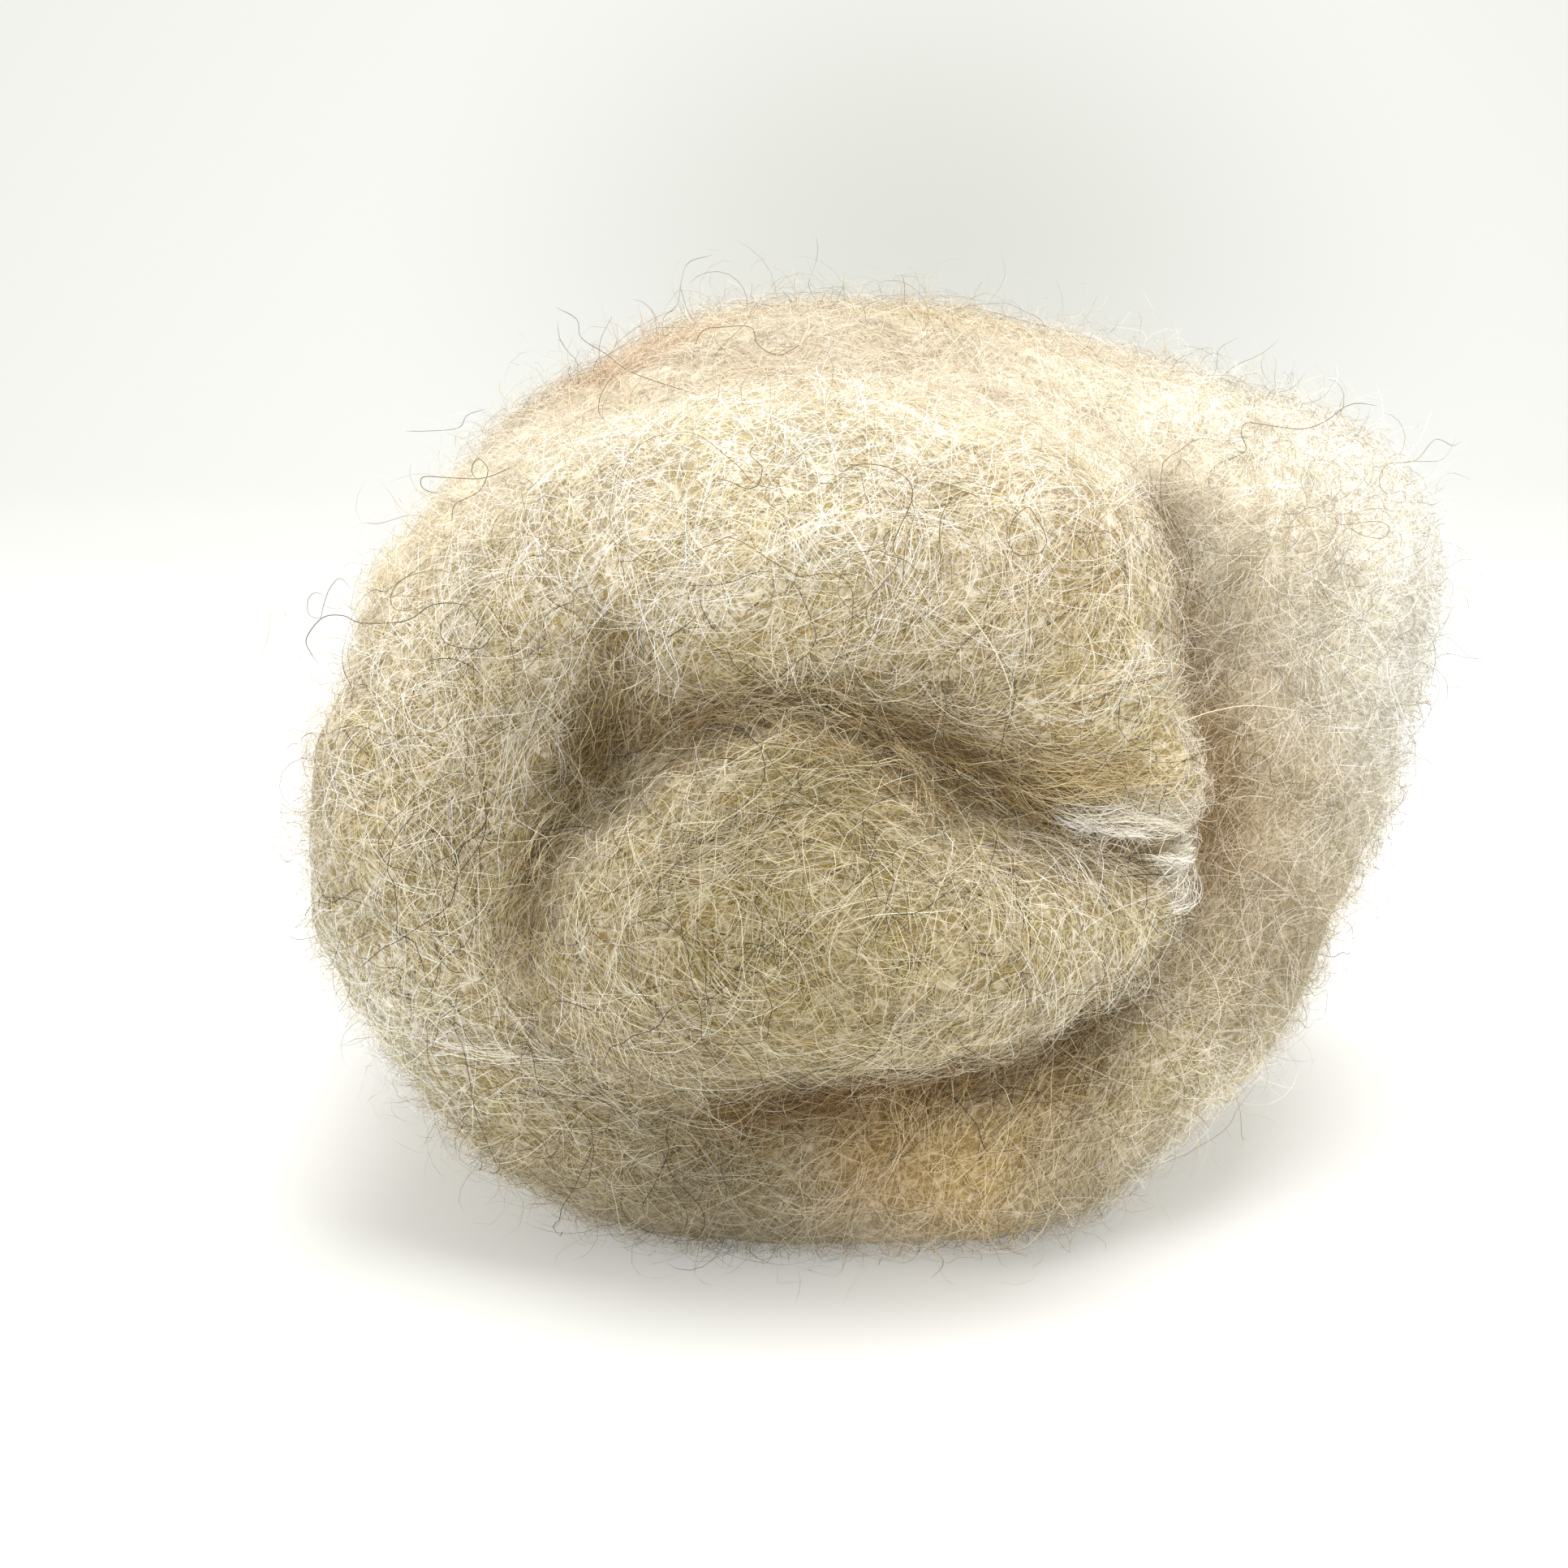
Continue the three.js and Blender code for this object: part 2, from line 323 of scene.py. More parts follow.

# %% [markdown]
# The turns of the roll press into each other, which leaves creases, and the inner end of the
# sheet curls over as a low ridge. Each is a path on the front of the roll. A point near the
# path moves in or out along its own normal, most in the middle and less to the sides.

# %% Creases and the inner curl
# each crease's colour is painted shade, brown along the crease; the curl's ridge is painted lighter
# as a painted highlight, and its hollow darker as painted shade
CREASES = [
    # The tuck between the left side, the upper turn and the core.
    {
        "path": [
            (-38, 92), (-39, 86), (-40, 80.5), (-41.5, 75), (-45.5, 70), (-48.5, 62), (-51, 50),
        ],
        "half_width": 3.2,
        "depths": [0, 0.5, 2.0, 5.0, 3.5, 1.5, 0.4],
        "colour": "#7d6224",
        "colour_width": 3.8,
        "strength": 0.65,
    },
    # The pinch between the core and the upper turn, down to the pale tuft.
    {
        "path": [
            (-34, 80), (-20, 84), (-10, 84), (-4, 81), (3, 75.5), (12, 72.5), (21.5, 67),
            (32, 63),
        ],
        "half_width": 2.5,
        "depths": [0.5, 0.5, 1.0, 2.5, 4.0, 3.5, 2.5, 0.5],
        "colour": "#806126",
        "colour_width": 4.5,
        "strength": 0.75,
    },
    # Its short branch to the right.
    {
        "path": [(8, 76.5), (15, 76), (24, 75), (33, 75)],
        "half_width": 2.0,
        "depths": [0.6, 0.6, 0.3, 0],
        "colour": "#a58c5c",
        "colour_width": 3.0,
        "strength": 0.25,
    },
    # Where the core rests on the bottom turn.
    {
        "path": [(-24, 25.5), (-7, 27.5), (8, 29.5), (22, 32.5), (33, 39.5), (41, 48), (46, 58)],
        "half_width": 3.2,
        "depths": [0, 1.5, 3.0, 3.5, 3.5, 3.0, 1.0],
        "colour": "#6f4d10",
        "colour_width": 4.5,
        "strength": 0.85,
    },
    # The curl at the inner end of the sheet: a ridge, so its depths are below zero.
    {
        "path": [(-27, 60), (-26, 70), (-23, 78), (-16, 82), (-7, 80), (-1, 75), (3, 71)],
        "half_width": 2.5,
        "depths": [0, -1.5, -2.6, -2.8, -2.2, -2.0, -1.6],
        "colour": "#dcd2b6",
        "colour_width": 2.5,
        "strength": 0.25,
    },
    # The hollow inside the curl.
    {
        "path": [(-20, 58), (-20, 70), (-14, 75.5), (-7, 73.5), (-3, 68)],
        "half_width": 3.0,
        "depths": [0, 1.8, 2.6, 2.2, 0.8],
        "colour": "#a3946a",
        "colour_width": 4.0,
        "strength": 0.4,
    },
    # The groove behind the right end of the upper turn, which starts further back.
    {
        "path": [(38, 102), (39.5, 97), (41, 92), (43, 85), (45.5, 75), (47, 65), (47, 54)],
        "half_width": 3.4,
        "depths": [0.3, 1.2, 2.0, 2.5, 2.5, 2.0, 0.5],
        "colour": "#8f6e2c",
        "colour_width": 4.5,
        "strength": 0.75,
        "full_at": (12, 2),
    },
]
FRONT_Y = (-20, -32)  # a crease starts behind the first of these and is full at the second


def in_front(points, full_at=FRONT_Y):
    """1 where a point (in millimetres) is in front of the second y, 0 behind the first."""
    return np.clip((points[:, 1] - full_at[0]) / (full_at[1] - full_at[0]), 0, 1)


def nearest_on_path(places, path):
    """For each (x, z) place: its distance to the path, and how far along the path that is."""
    path = np.array(path, float)
    best = np.full(len(places), np.inf)
    along = np.zeros(len(places))
    for i in range(len(path) - 1):
        step = path[i + 1] - path[i]
        t = np.clip(((places - path[i]) @ step) / (step @ step), 0, 1)
        away = np.linalg.norm(places - path[i] - t[:, None] * step, axis=1)
        closer = away < best
        best[closer] = away[closer]
        along[closer] = (i + t)[closer]
    return best, along


def press_creases(mesh):
    points = vertex_array(mesh, "co") / MM
    normals = vertex_array(mesh, "normal")
    depth = np.zeros(len(points))
    for crease in CREASES:
        away, along = nearest_on_path(points[:, [0, 2]], crease["path"])
        deep = np.interp(along, range(len(crease["depths"])), crease["depths"])
        front = in_front(points, crease.get("full_at", FRONT_Y))
        depth += front * deep * np.exp(-((away / crease["half_width"]) ** 2))
    set_points(mesh, (points - normals * depth[:, None]) * MM)
    print("creases", round(depth.max(), 1), "mm deep, the curl", round(-depth.min(), 1), "mm proud")


press_creases(mat.data)

# %% [markdown]
# Carded wool is lumpy at two scales: soft swells a finger wide, and small clumps where
# fibres have drawn together. Two Displace modifiers on cloud textures give both. What would
# go below the paper is laid flat on it, which is the roll's resting spot.

# %% Swells and clumps
LUMPS = [("swells", 17, 2.4), ("clumps", 6, 1.5)]  # size and height in millimetres
INSIDE_FIBRES = 1.5 * MM  # the mat stays this far under the skin, and fibres fill the rest

for lump_name, size, height in LUMPS:
    clouds = bpy.data.textures.new(lump_name, "CLOUDS")
    clouds.noise_scale = size * MM
    clouds.noise_depth = 1
    finish_with(
        mat, lump_name, "DISPLACE", texture=clouds, texture_coords="LOCAL", strength=height * MM
    )

points = vertex_array(mat.data, "co") - vertex_array(mat.data, "normal") * INSIDE_FIBRES
points[:, 2] = np.maximum(points[:, 2], 0)
set_points(mat.data, points)
for polygon in mat.data.polygons:
    polygon.use_smooth = True

# %% [markdown]
# ## Colour
# Undyed wool is not one colour. Grease and stain left ochre and orange patches, and some locks are
# whiter. Many patches are painted shade instead: the front of the core is painted darker and more
# olive than the cream outer turns, and so are the foot where the roll rests on the paper, the
# underside of the upper turn and the deep places of the creases. Others are painted light: the flap
# at the back right is painted near white where it is lit, and pale patches are painted over the
# shadow of the groove behind the upper turn. A table lists the patches: where each is, how far it
# reaches, its colour, and how strong it is. The creases add painted shade of their own, and a
# painted highlight on the curl's ridge. The mat and every fibre take their tint from here.

# %% Patches of colour
CREAM = linear("#e7dcc9")
PATCHES = [
    # x, y, z and reach in millimetres
    # painted shade: the front of the core, darker and more olive than the top
    {"at": (-12, -55, 56), "reach": 36, "colour": "#bcad86", "strength": 0.75},
    {"at": (32, -50, 52), "reach": 13, "colour": "#c2b695", "strength": 0.5},
    # painted shade low on the front, where it faces down
    {"at": (-30, -50, 16), "reach": 26, "colour": "#a29475", "strength": 0.65},
    # painted shade, this and the next: the foot, where the roll rests on the paper
    {"at": (-24, -40, 4), "reach": 24, "colour": "#6e6140", "strength": 0.75},
    {"at": (20, -40, 4), "reach": 20, "colour": "#857551", "strength": 0.6},
    {"at": (-60, -42, 20), "reach": 20, "colour": "#b9ac8c", "strength": 0.6},
    {"at": (-72, -45, 38), "reach": 14, "colour": "#fffdf8", "strength": 0.9},
    {"at": (-62, -45, 58), "reach": 22, "colour": "#c8bc9e", "strength": 0.6},
    {"at": (-68, -35, 88), "reach": 20, "colour": "#f4ead6", "strength": 0.5},
    {"at": (36, -42, 24), "reach": 16, "colour": "#d2c5a3", "strength": 0.5},
    {"at": (0, 30, 128), "reach": 45, "colour": "#b1a58d", "strength": 0.7},
    {"at": (-44, 12, 121), "reach": 14, "colour": "#c99a68", "strength": 0.7},
    {"at": (7, 14, 126), "reach": 11, "colour": "#d6bd86", "strength": 0.6},
    {"at": (-74, -20, 98), "reach": 14, "colour": "#ead9b0", "strength": 0.4},
    # painted light: the flap at the back right, near white where it is lit
    {"at": (62, -8, 106), "reach": 22, "colour": "#fffaf0", "strength": 0.8},
    {"at": (66, -14, 84), "reach": 20, "colour": "#e8dcc3", "strength": 0.7},
    # painted light on the lit flap, this and the next
    {"at": (84, 0, 96), "reach": 24, "colour": "#fffcf4", "strength": 0.8},
    {"at": (82, -4, 67), "reach": 22, "colour": "#fffdf8", "strength": 0.9},
    {"at": (74, -12, 42), "reach": 18, "colour": "#d3c6a5", "strength": 0.6},
    {"at": (23, -52, 98), "reach": 8, "colour": "#e0c795", "strength": 0.4},
    {"at": (24, -53, 74), "reach": 8, "colour": "#fbdfa6", "strength": 0.75},
    {"at": (34, -50, 75), "reach": 7, "colour": "#f8e4bc", "strength": 0.6},
    # painted shade in the pinch
    {"at": (4, -60, 79), "reach": 10, "colour": "#9b8250", "strength": 0.55},
    {"at": (-2, -56, 20), "reach": 9, "colour": "#b18d58", "strength": 0.6},
    {"at": (9, -54, 17), "reach": 12, "colour": "#dfc28c", "strength": 0.65},
    # painted shade along the crease under the core, this and the next
    {"at": (24, -48, 29), "reach": 8, "colour": "#a8884f", "strength": 0.55},
    {"at": (36, -45, 42), "reach": 8, "colour": "#917c4c", "strength": 0.55},
    # painted shade deep in the pit of the tuck
    {"at": (-41, -47, 76), "reach": 6, "colour": "#6b4f16", "strength": 0.75},
    # painted shade in the groove behind the upper turn
    {"at": (52, -18, 66), "reach": 13, "colour": "#ab9265", "strength": 0.55},
    {"at": (1, -54, 71.5), "reach": 5, "colour": "#ffe6b6", "strength": 0.85},
    {"at": (-15, -60, 107), "reach": 4, "colour": "#f6f1e6", "strength": 0.6},
    {"at": (35, -49, 67), "reach": 7, "colour": "#f8f2e6", "strength": 0.75},
    {"at": (38, -47, 57), "reach": 7, "colour": "#fffcf2", "strength": 0.9},
    # painted shade under the upper turn
    {"at": (-16, -57, 88), "reach": 12, "colour": "#c2b183", "strength": 0.5},
    {"at": (-28, -55, 102), "reach": 16, "colour": "#faf1df", "strength": 0.65},
    {"at": (50, -22, 36), "reach": 14, "colour": "#a08f6c", "strength": 0.6},
    {"at": (-40, -40, 111), "reach": 15, "colour": "#fbf4e6", "strength": 0.4},
    # painted light on the lit flap
    {"at": (80, -6, 84), "reach": 15, "colour": "#fffdf8", "strength": 0.6},
    # painted light over the shadow of the groove behind the upper turn, this and the next
    {"at": (43, -22, 106), "reach": 14, "colour": "#fff8e8", "strength": 0.85},
    {"at": (50, -20, 95), "reach": 12, "colour": "#fdf2dc", "strength": 0.7},
    {"at": (-81, -30, 53), "reach": 15, "colour": "#fffdf6", "strength": 0.75},
    {"at": (49, -30, 19), "reach": 11, "colour": "#fffaf0", "strength": 0.75},
    {"at": (-29, -52, 60), "reach": 13, "colour": "#a19370", "strength": 0.4},
    {"at": (26, -50, 84), "reach": 10, "colour": "#f6ecd4", "strength": 0.5},
    {"at": (-80, -30, 42), "reach": 12, "colour": "#fffdf8", "strength": 0.8},
    {"at": (-12, -50, 110), "reach": 12, "colour": "#fffaf0", "strength": 0.4},
    {"at": (-24, -18, 125), "reach": 12, "colour": "#d3c6ad", "strength": 0.4},
    {"at": (-55, 10, 112), "reach": 18, "colour": "#b4ab98", "strength": 0.7},
]

mat.data.calc_loop_triangles()
triangle_corners = np.empty(len(mat.data.loop_triangles) * 3, np.int32)
mat.data.loop_triangles.foreach_get("vertices", triangle_corners)
triangle_corners = triangle_corners.reshape(-1, 3)
mat_points = vertex_array(mat.data, "co")
skin = BVHTree.FromPolygons(mat_points.tolist(), triangle_corners.tolist(), all_triangles=True)


def onto_skin(points):
    """The nearest points on the mat, and the way out of it there. Metres."""
    hits = [skin.find_nearest(point) for point in points.tolist()]
    return np.array([hit[0] for hit in hits]), np.array([hit[1] for hit in hits])


patch_places, _ = onto_skin(np.array([patch["at"] for patch in PATCHES]) * MM)


def unevenness(size, waves=14):
    """A smooth random field of about -1 to 1, whose lumps are about size metres wide."""
    ways = chance.normal(0, 1, (waves, 3))
    ways /= np.linalg.norm(ways, axis=1, keepdims=True)
    ways *= 2 * math.pi / (size * chance.uniform(1.4, 2.6, (waves, 1)))
    shifts = chance.uniform(0, 2 * math.pi, waves)
    return lambda points: np.sin(points @ ways.T + shifts).sum(1) / math.sqrt(waves)


CLOUDING = 0.05  # how much lighter or darker the uneven field makes the wool
clouded = unevenness(7 * MM)


def tint_at(points):
    """The wool's colour at points in metres, in linear light, with the painted light and shade of
    the patches and creases in it.
    """
    tint = np.tile(CREAM, (len(points), 1))
    for patch, place in zip(PATCHES, patch_places):
        away = np.linalg.norm(points - place, axis=1) / (patch["reach"] * MM)
        share = (patch["strength"] * np.exp(-(away**2)))[:, None]
        tint = tint * (1 - share) + np.array(linear(patch["colour"])) * share
    # the creases' painted shade, and the painted highlight on the curl's ridge
    for crease in CREASES:
        away, _ = nearest_on_path(points[:, [0, 2]] / MM, crease["path"])
        front = in_front(points / MM, crease.get("full_at", FRONT_Y))
        share = crease["strength"] * front * np.exp(-((away / crease["colour_width"]) ** 2))
        tint = tint * (1 - share[:, None]) + np.array(linear(crease["colour"])) * share[:, None]
    return tint * np.exp(CLOUDING * clouded(points))[:, None]


def shade_and_contrast_at(points):
    """How strong the painted shade in the gaps and of the deep layers is, and how much the fibres
    differ from each other: less on the top, the foot and the far side.
    """
    near = np.interp(points[:, 1] / MM, [-50, -14], [1.2, 0.5])
    height = np.interp(points[:, 2] / MM, [6, 26, 85, 118], [0.6, 1.0, 1.0, 0.75])
    return near * height


def paint(mesh, name, colours):
    layer = mesh.attributes.new(name, "FLOAT_COLOR", "POINT")
    layer.data.foreach_set("color", np.column_stack([colours, np.ones(len(colours))]).ravel())


paint(mat.data, "wool_tint", tint_at(mat_points))
paint(mat.data, "gap_shade_and_contrast", np.repeat(shade_and_contrast_at(mat_points)[:, None], 3, axis=1))
print(len(PATCHES), "patches of colour")

# %% [markdown]
# ## The mat's finish
# Wool is keratin: matte, with a faint sheen where light grazes the fibres. A fibre is about
# 0.03 mm thick, far too fine to show here, so the hairs of this pattern are some 0.3 mm wide.
# A thin winding line is what is left of a smooth noise where its value is near one half.
# Three such nets of lines, at different scales, are light hairs over darker gaps, and they also
# drive the bump. The darkness of the gaps is painted shade, strongest on the front.

# %% Material of the mat
HAIR_NETS = [
    # lines are about this many millimetres apart; how wide a line is; how strongly it shows
    {"apart": 1.9, "width": 0.045, "shows": 1.0},
    {"apart": 1.2, "width": 0.06, "shows": 0.9},
    {"apart": 0.8, "width": 0.08, "shows": 0.75},
]
# the gaps are painted shade between the hairs
GAP_SHADE_COLOUR = (0.47, 0.41, 0.23)  # what a gap leaves of the tint's red, green and blue
BUMP_HEIGHT = 0.4 * MM

wool, tree = new_material("carded_wool_mat")
place = add_node(tree, "ShaderNodeTexCoord").outputs["Object"]
tint = add_node(tree, "ShaderNodeAttribute", {"attribute_name": "wool_tint"}).outputs["Color"]
hairs = None
for number, net in enumerate(HAIR_NETS):
    shifted = add_node(
        tree, "ShaderNodeVectorMath", {"operation": "ADD"}, _0=place, _1=(number * 3.1, 1.7, number)
    ).outputs["Vector"]
    noise = add_node(
        tree,
        "ShaderNodeTexNoise",
        Vector=shifted,
        Scale=0.5 / (net["apart"] * MM),
        Detail=1.5,
        Distortion=0.6,
    ).outputs["Fac"]
    centred = add_node(tree, "ShaderNodeMath", {"operation": "SUBTRACT"}, _0=noise, _1=0.5)
    away = add_node(
        tree, "ShaderNodeMath", {"operation": "ABSOLUTE"}, _0=centred.outputs[0]
    ).outputs[0]
    line = add_node(
        tree,
        "ShaderNodeMapRange",
        {"interpolation_type": "SMOOTHSTEP"},
        _0=away,
        _1=0.0,
        _2=net["width"],
        _3=net["shows"],
        _4=0.0,
    ).outputs["Result"]
    hairs = line if hairs is None else add_node(
        tree, "ShaderNodeMath", {"operation": "MAXIMUM"}, _0=hairs, _1=line
    ).outputs[0]

# how strong the painted shade in the gaps is at this place
contrast = add_node(tree, "ShaderNodeAttribute", {"attribute_name": "gap_shade_and_contrast"}).outputs["Fac"]
gap = add_node(tree, "ShaderNodeMath", {"operation": "SUBTRACT"}, _0=1.0, _1=hairs).outputs[0]
gap = add_node(tree, "ShaderNodeMath", {"operation": "MULTIPLY"}, _0=gap, _1=contrast).outputs[0]
left_of_tint = add_node(
    tree, "ShaderNodeMix", {"data_type": "RGBA"}, Factor=gap, _6=(1, 1, 1, 1), _7=(*GAP_SHADE_COLOUR, 1)
).outputs[2]
colour = add_node(
    tree, "ShaderNodeVectorMath", {"operation": "MULTIPLY"}, _0=tint, _1=left_of_tint
).outputs["Vector"]
bump = add_node(tree, "ShaderNodeBump", Strength=0.8, Distance=BUMP_HEIGHT, Height=hairs)
shader = add_node(
    tree, "ShaderNodeBsdfPrincipled", Normal=bump.outputs["Normal"], Roughness=0.9, IOR=1.55
)
tree.links.new(colour, shader.inputs["Base Color"])
shader.inputs["Specular IOR Level"].default_value = 0.15
shader.inputs["Sheen Weight"].default_value = 0.15
add_node(tree, "ShaderNodeOutputMaterial", Surface=shader.outputs["BSDF"])
mat.data.materials.clear()
mat.data.materials.append(wool)

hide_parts("rolled_batt")
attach(mat, "root")
print("material", wool.name, len(tree.nodes), "nodes")

# %% [markdown]
# ## Fibres
# The fibres that show are real geometry, because their light edges over dark gaps are what
# makes wool look like wool. There are tens of thousands, so each is a flat ribbon of a few
# faces, and a layer is one joined mesh made from arrays. A fibre starts somewhere on the
# mat and walks over it: a step forward, back onto the skin, a small turn, and so on.

# %% Where fibres start
LOWEST_START = 0.2 * MM  # no fibre starts where the mat rests on the paper


def scatter(count, towards_camera=2.2, mask=None):
    """Random points on the mat, and the way out there. More where the camera looks."""
    a, b, c = (mat_points[triangle_corners[:, i]] for i in range(3))
    cross = np.cross(b - a, c - a)
    size = np.linalg.norm(cross, axis=1)
    out = cross / np.maximum(size, 1e-12)[:, None]
    weight = size * (1 + towards_camera * np.clip(out @ np.array(TO_CAMERA), 0, 1))
    weight = np.where(a[:, 2] + b[:, 2] + c[:, 2] < 3 * LOWEST_START, 0, weight)
    if mask is not None:
        weight = weight * mask((a + b + c) / 3, out)
    picked = chance.choice(len(weight), count, p=weight / weight.sum())
    u, v = chance.random(count), chance.random(count)
    flip = u + v > 1
    u, v = np.where(flip, 1 - u, u)[:, None], np.where(flip, 1 - v, v)[:, None]
    starts = a[picked] * (1 - u - v) + b[picked] * u + c[picked] * v
    return starts, out[picked]


# %% [markdown]
# Carding combs the fibres one way, and rolling, pinching and handling turn them again. The
# combing table says which way they lie on the front: the angle from the horizontal, and how
# strictly they keep to it, from 0 for any way to 1 for all alike. The core is a swirl, so
# its rows are worked out round an oval. Elsewhere the fibres run round the roll.

# %% Combing
COMBING = [
    # x and z in millimetres, angle in degrees, order from 0 to 1
    {"at": (-25, 105), "angle": 35, "order": 0.35},
    {"at": (0, 100), "angle": 40, "order": 0.35},
    {"at": (5, 90), "angle": 48, "order": 0.45},
    {"at": (25, 100), "angle": 65, "order": 0.4},
    {"at": (30, 88), "angle": 35, "order": 0.4},
    {"at": (-20, 90), "angle": 25, "order": 0.4},
    {"at": (-5, 84), "angle": -22, "order": 0.75},
    {"at": (5, 78), "angle": -35, "order": 0.85},
    {"at": (13, 71), "angle": -30, "order": 0.85},
    {"at": (20, 66), "angle": -25, "order": 0.8},
    {"at": (16, 77), "angle": -8, "order": 0.8},
    {"at": (26, 75), "angle": 4, "order": 0.85},
    {"at": (36, 72), "angle": 12, "order": 0.8},
    {"at": (36, 66), "angle": 10, "order": 0.8},
    {"at": (-38, 90), "angle": 85, "order": 0.75},
    {"at": (-42, 78), "angle": 60, "order": 0.6},
    {"at": (-48, 70), "angle": 65, "order": 0.6},
    {"at": (-60, 90), "angle": 70, "order": 0.3},
    {"at": (-70, 65), "angle": 95, "order": 0.3},
    {"at": (-65, 45), "angle": 110, "order": 0.3},
    {"at": (-60, 34), "angle": -10, "order": 0.6},
    {"at": (-45, 22), "angle": -25, "order": 0.35},
    {"at": (-20, 14), "angle": 5, "order": 0.3},
    {"at": (0, 18), "angle": 60, "order": 0.4},
    {"at": (10, 12), "angle": 85, "order": 0.6},
    {"at": (-10, 8), "angle": 80, "order": 0.4},
    {"at": (25, 18), "angle": 70, "order": 0.5},
    {"at": (25, 30), "angle": 25, "order": 0.5},
    {"at": (52, 88), "angle": 75, "order": 0.45},
    {"at": (66, 96), "angle": 40, "order": 0.3},
    {"at": (62, 76), "angle": 58, "order": 0.4},
    {"at": (54, 62), "angle": 62, "order": 0.4},
    {"at": (48, 44), "angle": 50, "order": 0.3},
]
SWIRL = {"middle": (-12, 56), "across": 32, "up": 20, "order": 0.7, "rows": 12}
ROUND_ORDER = 0.25  # of the fibres that run round the roll
COMB_REACH = 9.0  # millimetres over which a row fades
NO_ROW_WEIGHT, NO_ROW_ORDER = 0.1, 0.2  # what stands in where no row is near
COMBED = [0.1, 0.6]  # weight of the rows at which the combing starts, and where it is full
FACES_FRONT = [0, 0.625]  # the same, for how squarely the skin faces the front
WIDEST_STRAY = 62  # degrees a fibre strays from the combing where there is no order
WIDEST_DRIFT = 50  # degrees that a whole tuft of neighbours strays there
drift = unevenness(6 * MM)

for k in range(SWIRL["rows"]):
    turn = 2 * math.pi * k / SWIRL["rows"]
    x = SWIRL["middle"][0] + SWIRL["across"] * math.cos(turn)
    z = SWIRL["middle"][1] + SWIRL["up"] * math.sin(turn)
    way = math.atan2(SWIRL["up"] * math.cos(turn), -SWIRL["across"] * math.sin(turn))
    COMBING.append({"at": (x, z), "angle": math.degrees(way), "order": SWIRL["order"]})


def headings(points, out):
    """A unit way to start in for each point, along the skin."""
    roll_axis = np.array([0.0, 1.0, 0.0])
    never_zero = np.array([0.02, 0, 0.01])  # for the roll's ends, where out is along the axis
    round_the_roll = np.cross(roll_axis, out) + never_zero
    doubled = np.zeros((len(points), 2))
    order = np.full(len(points), NO_ROW_WEIGHT * NO_ROW_ORDER)
    total = np.full(len(points), NO_ROW_WEIGHT)
    for row in COMBING:
        offset = points[:, [0, 2]] / MM - np.array(row["at"])
        near = np.exp(-(offset**2).sum(1) / COMB_REACH**2)
        angle = 2 * math.radians(row["angle"])
        doubled += near[:, None] * np.array([math.cos(angle), math.sin(angle)])
        order += near * row["order"]
        total += near
    on_front = np.interp(-out[:, 1], FACES_FRONT, [0, 1]) * np.interp(total, COMBED, [0, 1])
    angle = np.arctan2(doubled[:, 1], doubled[:, 0]) / 2
    combed = np.column_stack([np.cos(angle), np.zeros(len(angle)), np.sin(angle)])
    combed = combed * on_front[:, None] + round_the_roll * (1 - on_front)[:, None]
    combed = along_skin(combed, out)
    order = (order / total) * on_front + ROUND_ORDER * (1 - on_front)
    stray = WIDEST_DRIFT * drift(points) + WIDEST_STRAY * chance.normal(0, 1, len(points))
    stray = np.radians(stray * (1 - order))
    back = np.where(chance.random(len(points)) < 0.5, -1.0, 1.0)
    return turned(combed, out, stray) * back[:, None]


def along_skin(ways, out):
    flat = ways - (ways * out).sum(-1, keepdims=True) * out
    return flat / np.maximum(np.linalg.norm(flat, axis=-1, keepdims=True), 1e-9)


def turned(ways, out, angle):
    side = np.cross(out, ways)
    return ways * np.cos(angle)[:, None] + side * np.sin(angle)[:, None]


# %% [markdown]
# A walk gives a few points on the skin. They are drawn through with a smooth curve, lifted
# off the skin as a low arch whose ends dive back into the mat, and, for a coarse guard hair,
# given the crimp that wool has by nature: a wave every few millimetres.


# %% Paths of fibres
BEND_KEPT = 0.5  # how much of a step's bend the next step still has
ARCH_POWER = 0.7  # under 1, an arch is steep at its ends and flat on top
CRIMP_RISE = 0.5  # height of a crimp wave off the skin, next to its height along it
CRIMP_DRIFT = 0.9  # the two waves get slowly out of step


def walk(starts, out, ways, stride, steps, bend):
    """Points and outward ways, (fibre, step, 3), of a walk over the skin. Its bends come and go."""
    points, outs = [starts], [out]
    turn = chance.normal(0, bend, len(starts))
    for _ in range(steps):
        reached, out = onto_skin(points[-1] + ways * stride[:, None])
        ways = turned(along_skin(ways, out), out, turn)
        turn = BEND_KEPT * turn + chance.normal(0, bend * math.sqrt(1 - BEND_KEPT**2), len(starts))
        points.append(reached)
        outs.append(out)
    return np.stack(points, 1), np.stack(outs, 1)


def drawn_through(rows, between):
    """The rows (fibre, step, 3) with points between them on a Catmull-Rom curve."""
    before = 2 * rows[:, :1] - rows[:, 1:2]
    after = 2 * rows[:, -1:] - rows[:, -2:-1]
    padded = np.concatenate([before, rows, after], 1)
    p0, p1, p2, p3 = padded[:, :-3], padded[:, 1:-2], padded[:, 2:-1], padded[:, 3:]
    pieces = []
    for t in np.arange(between) / between:
        pieces.append(
            0.5
            * (
                2 * p1
                + (p2 - p0) * t
                + (2 * p0 - 5 * p1 + 4 * p2 - p3) * t**2
                + (3 * p1 - p0 - 3 * p2 + p3) * t**3
            )
        )
    curve = np.stack(pieces, 2).reshape(len(rows), -1, 3)
    return np.concatenate([curve, rows[:, -1:]], 1)


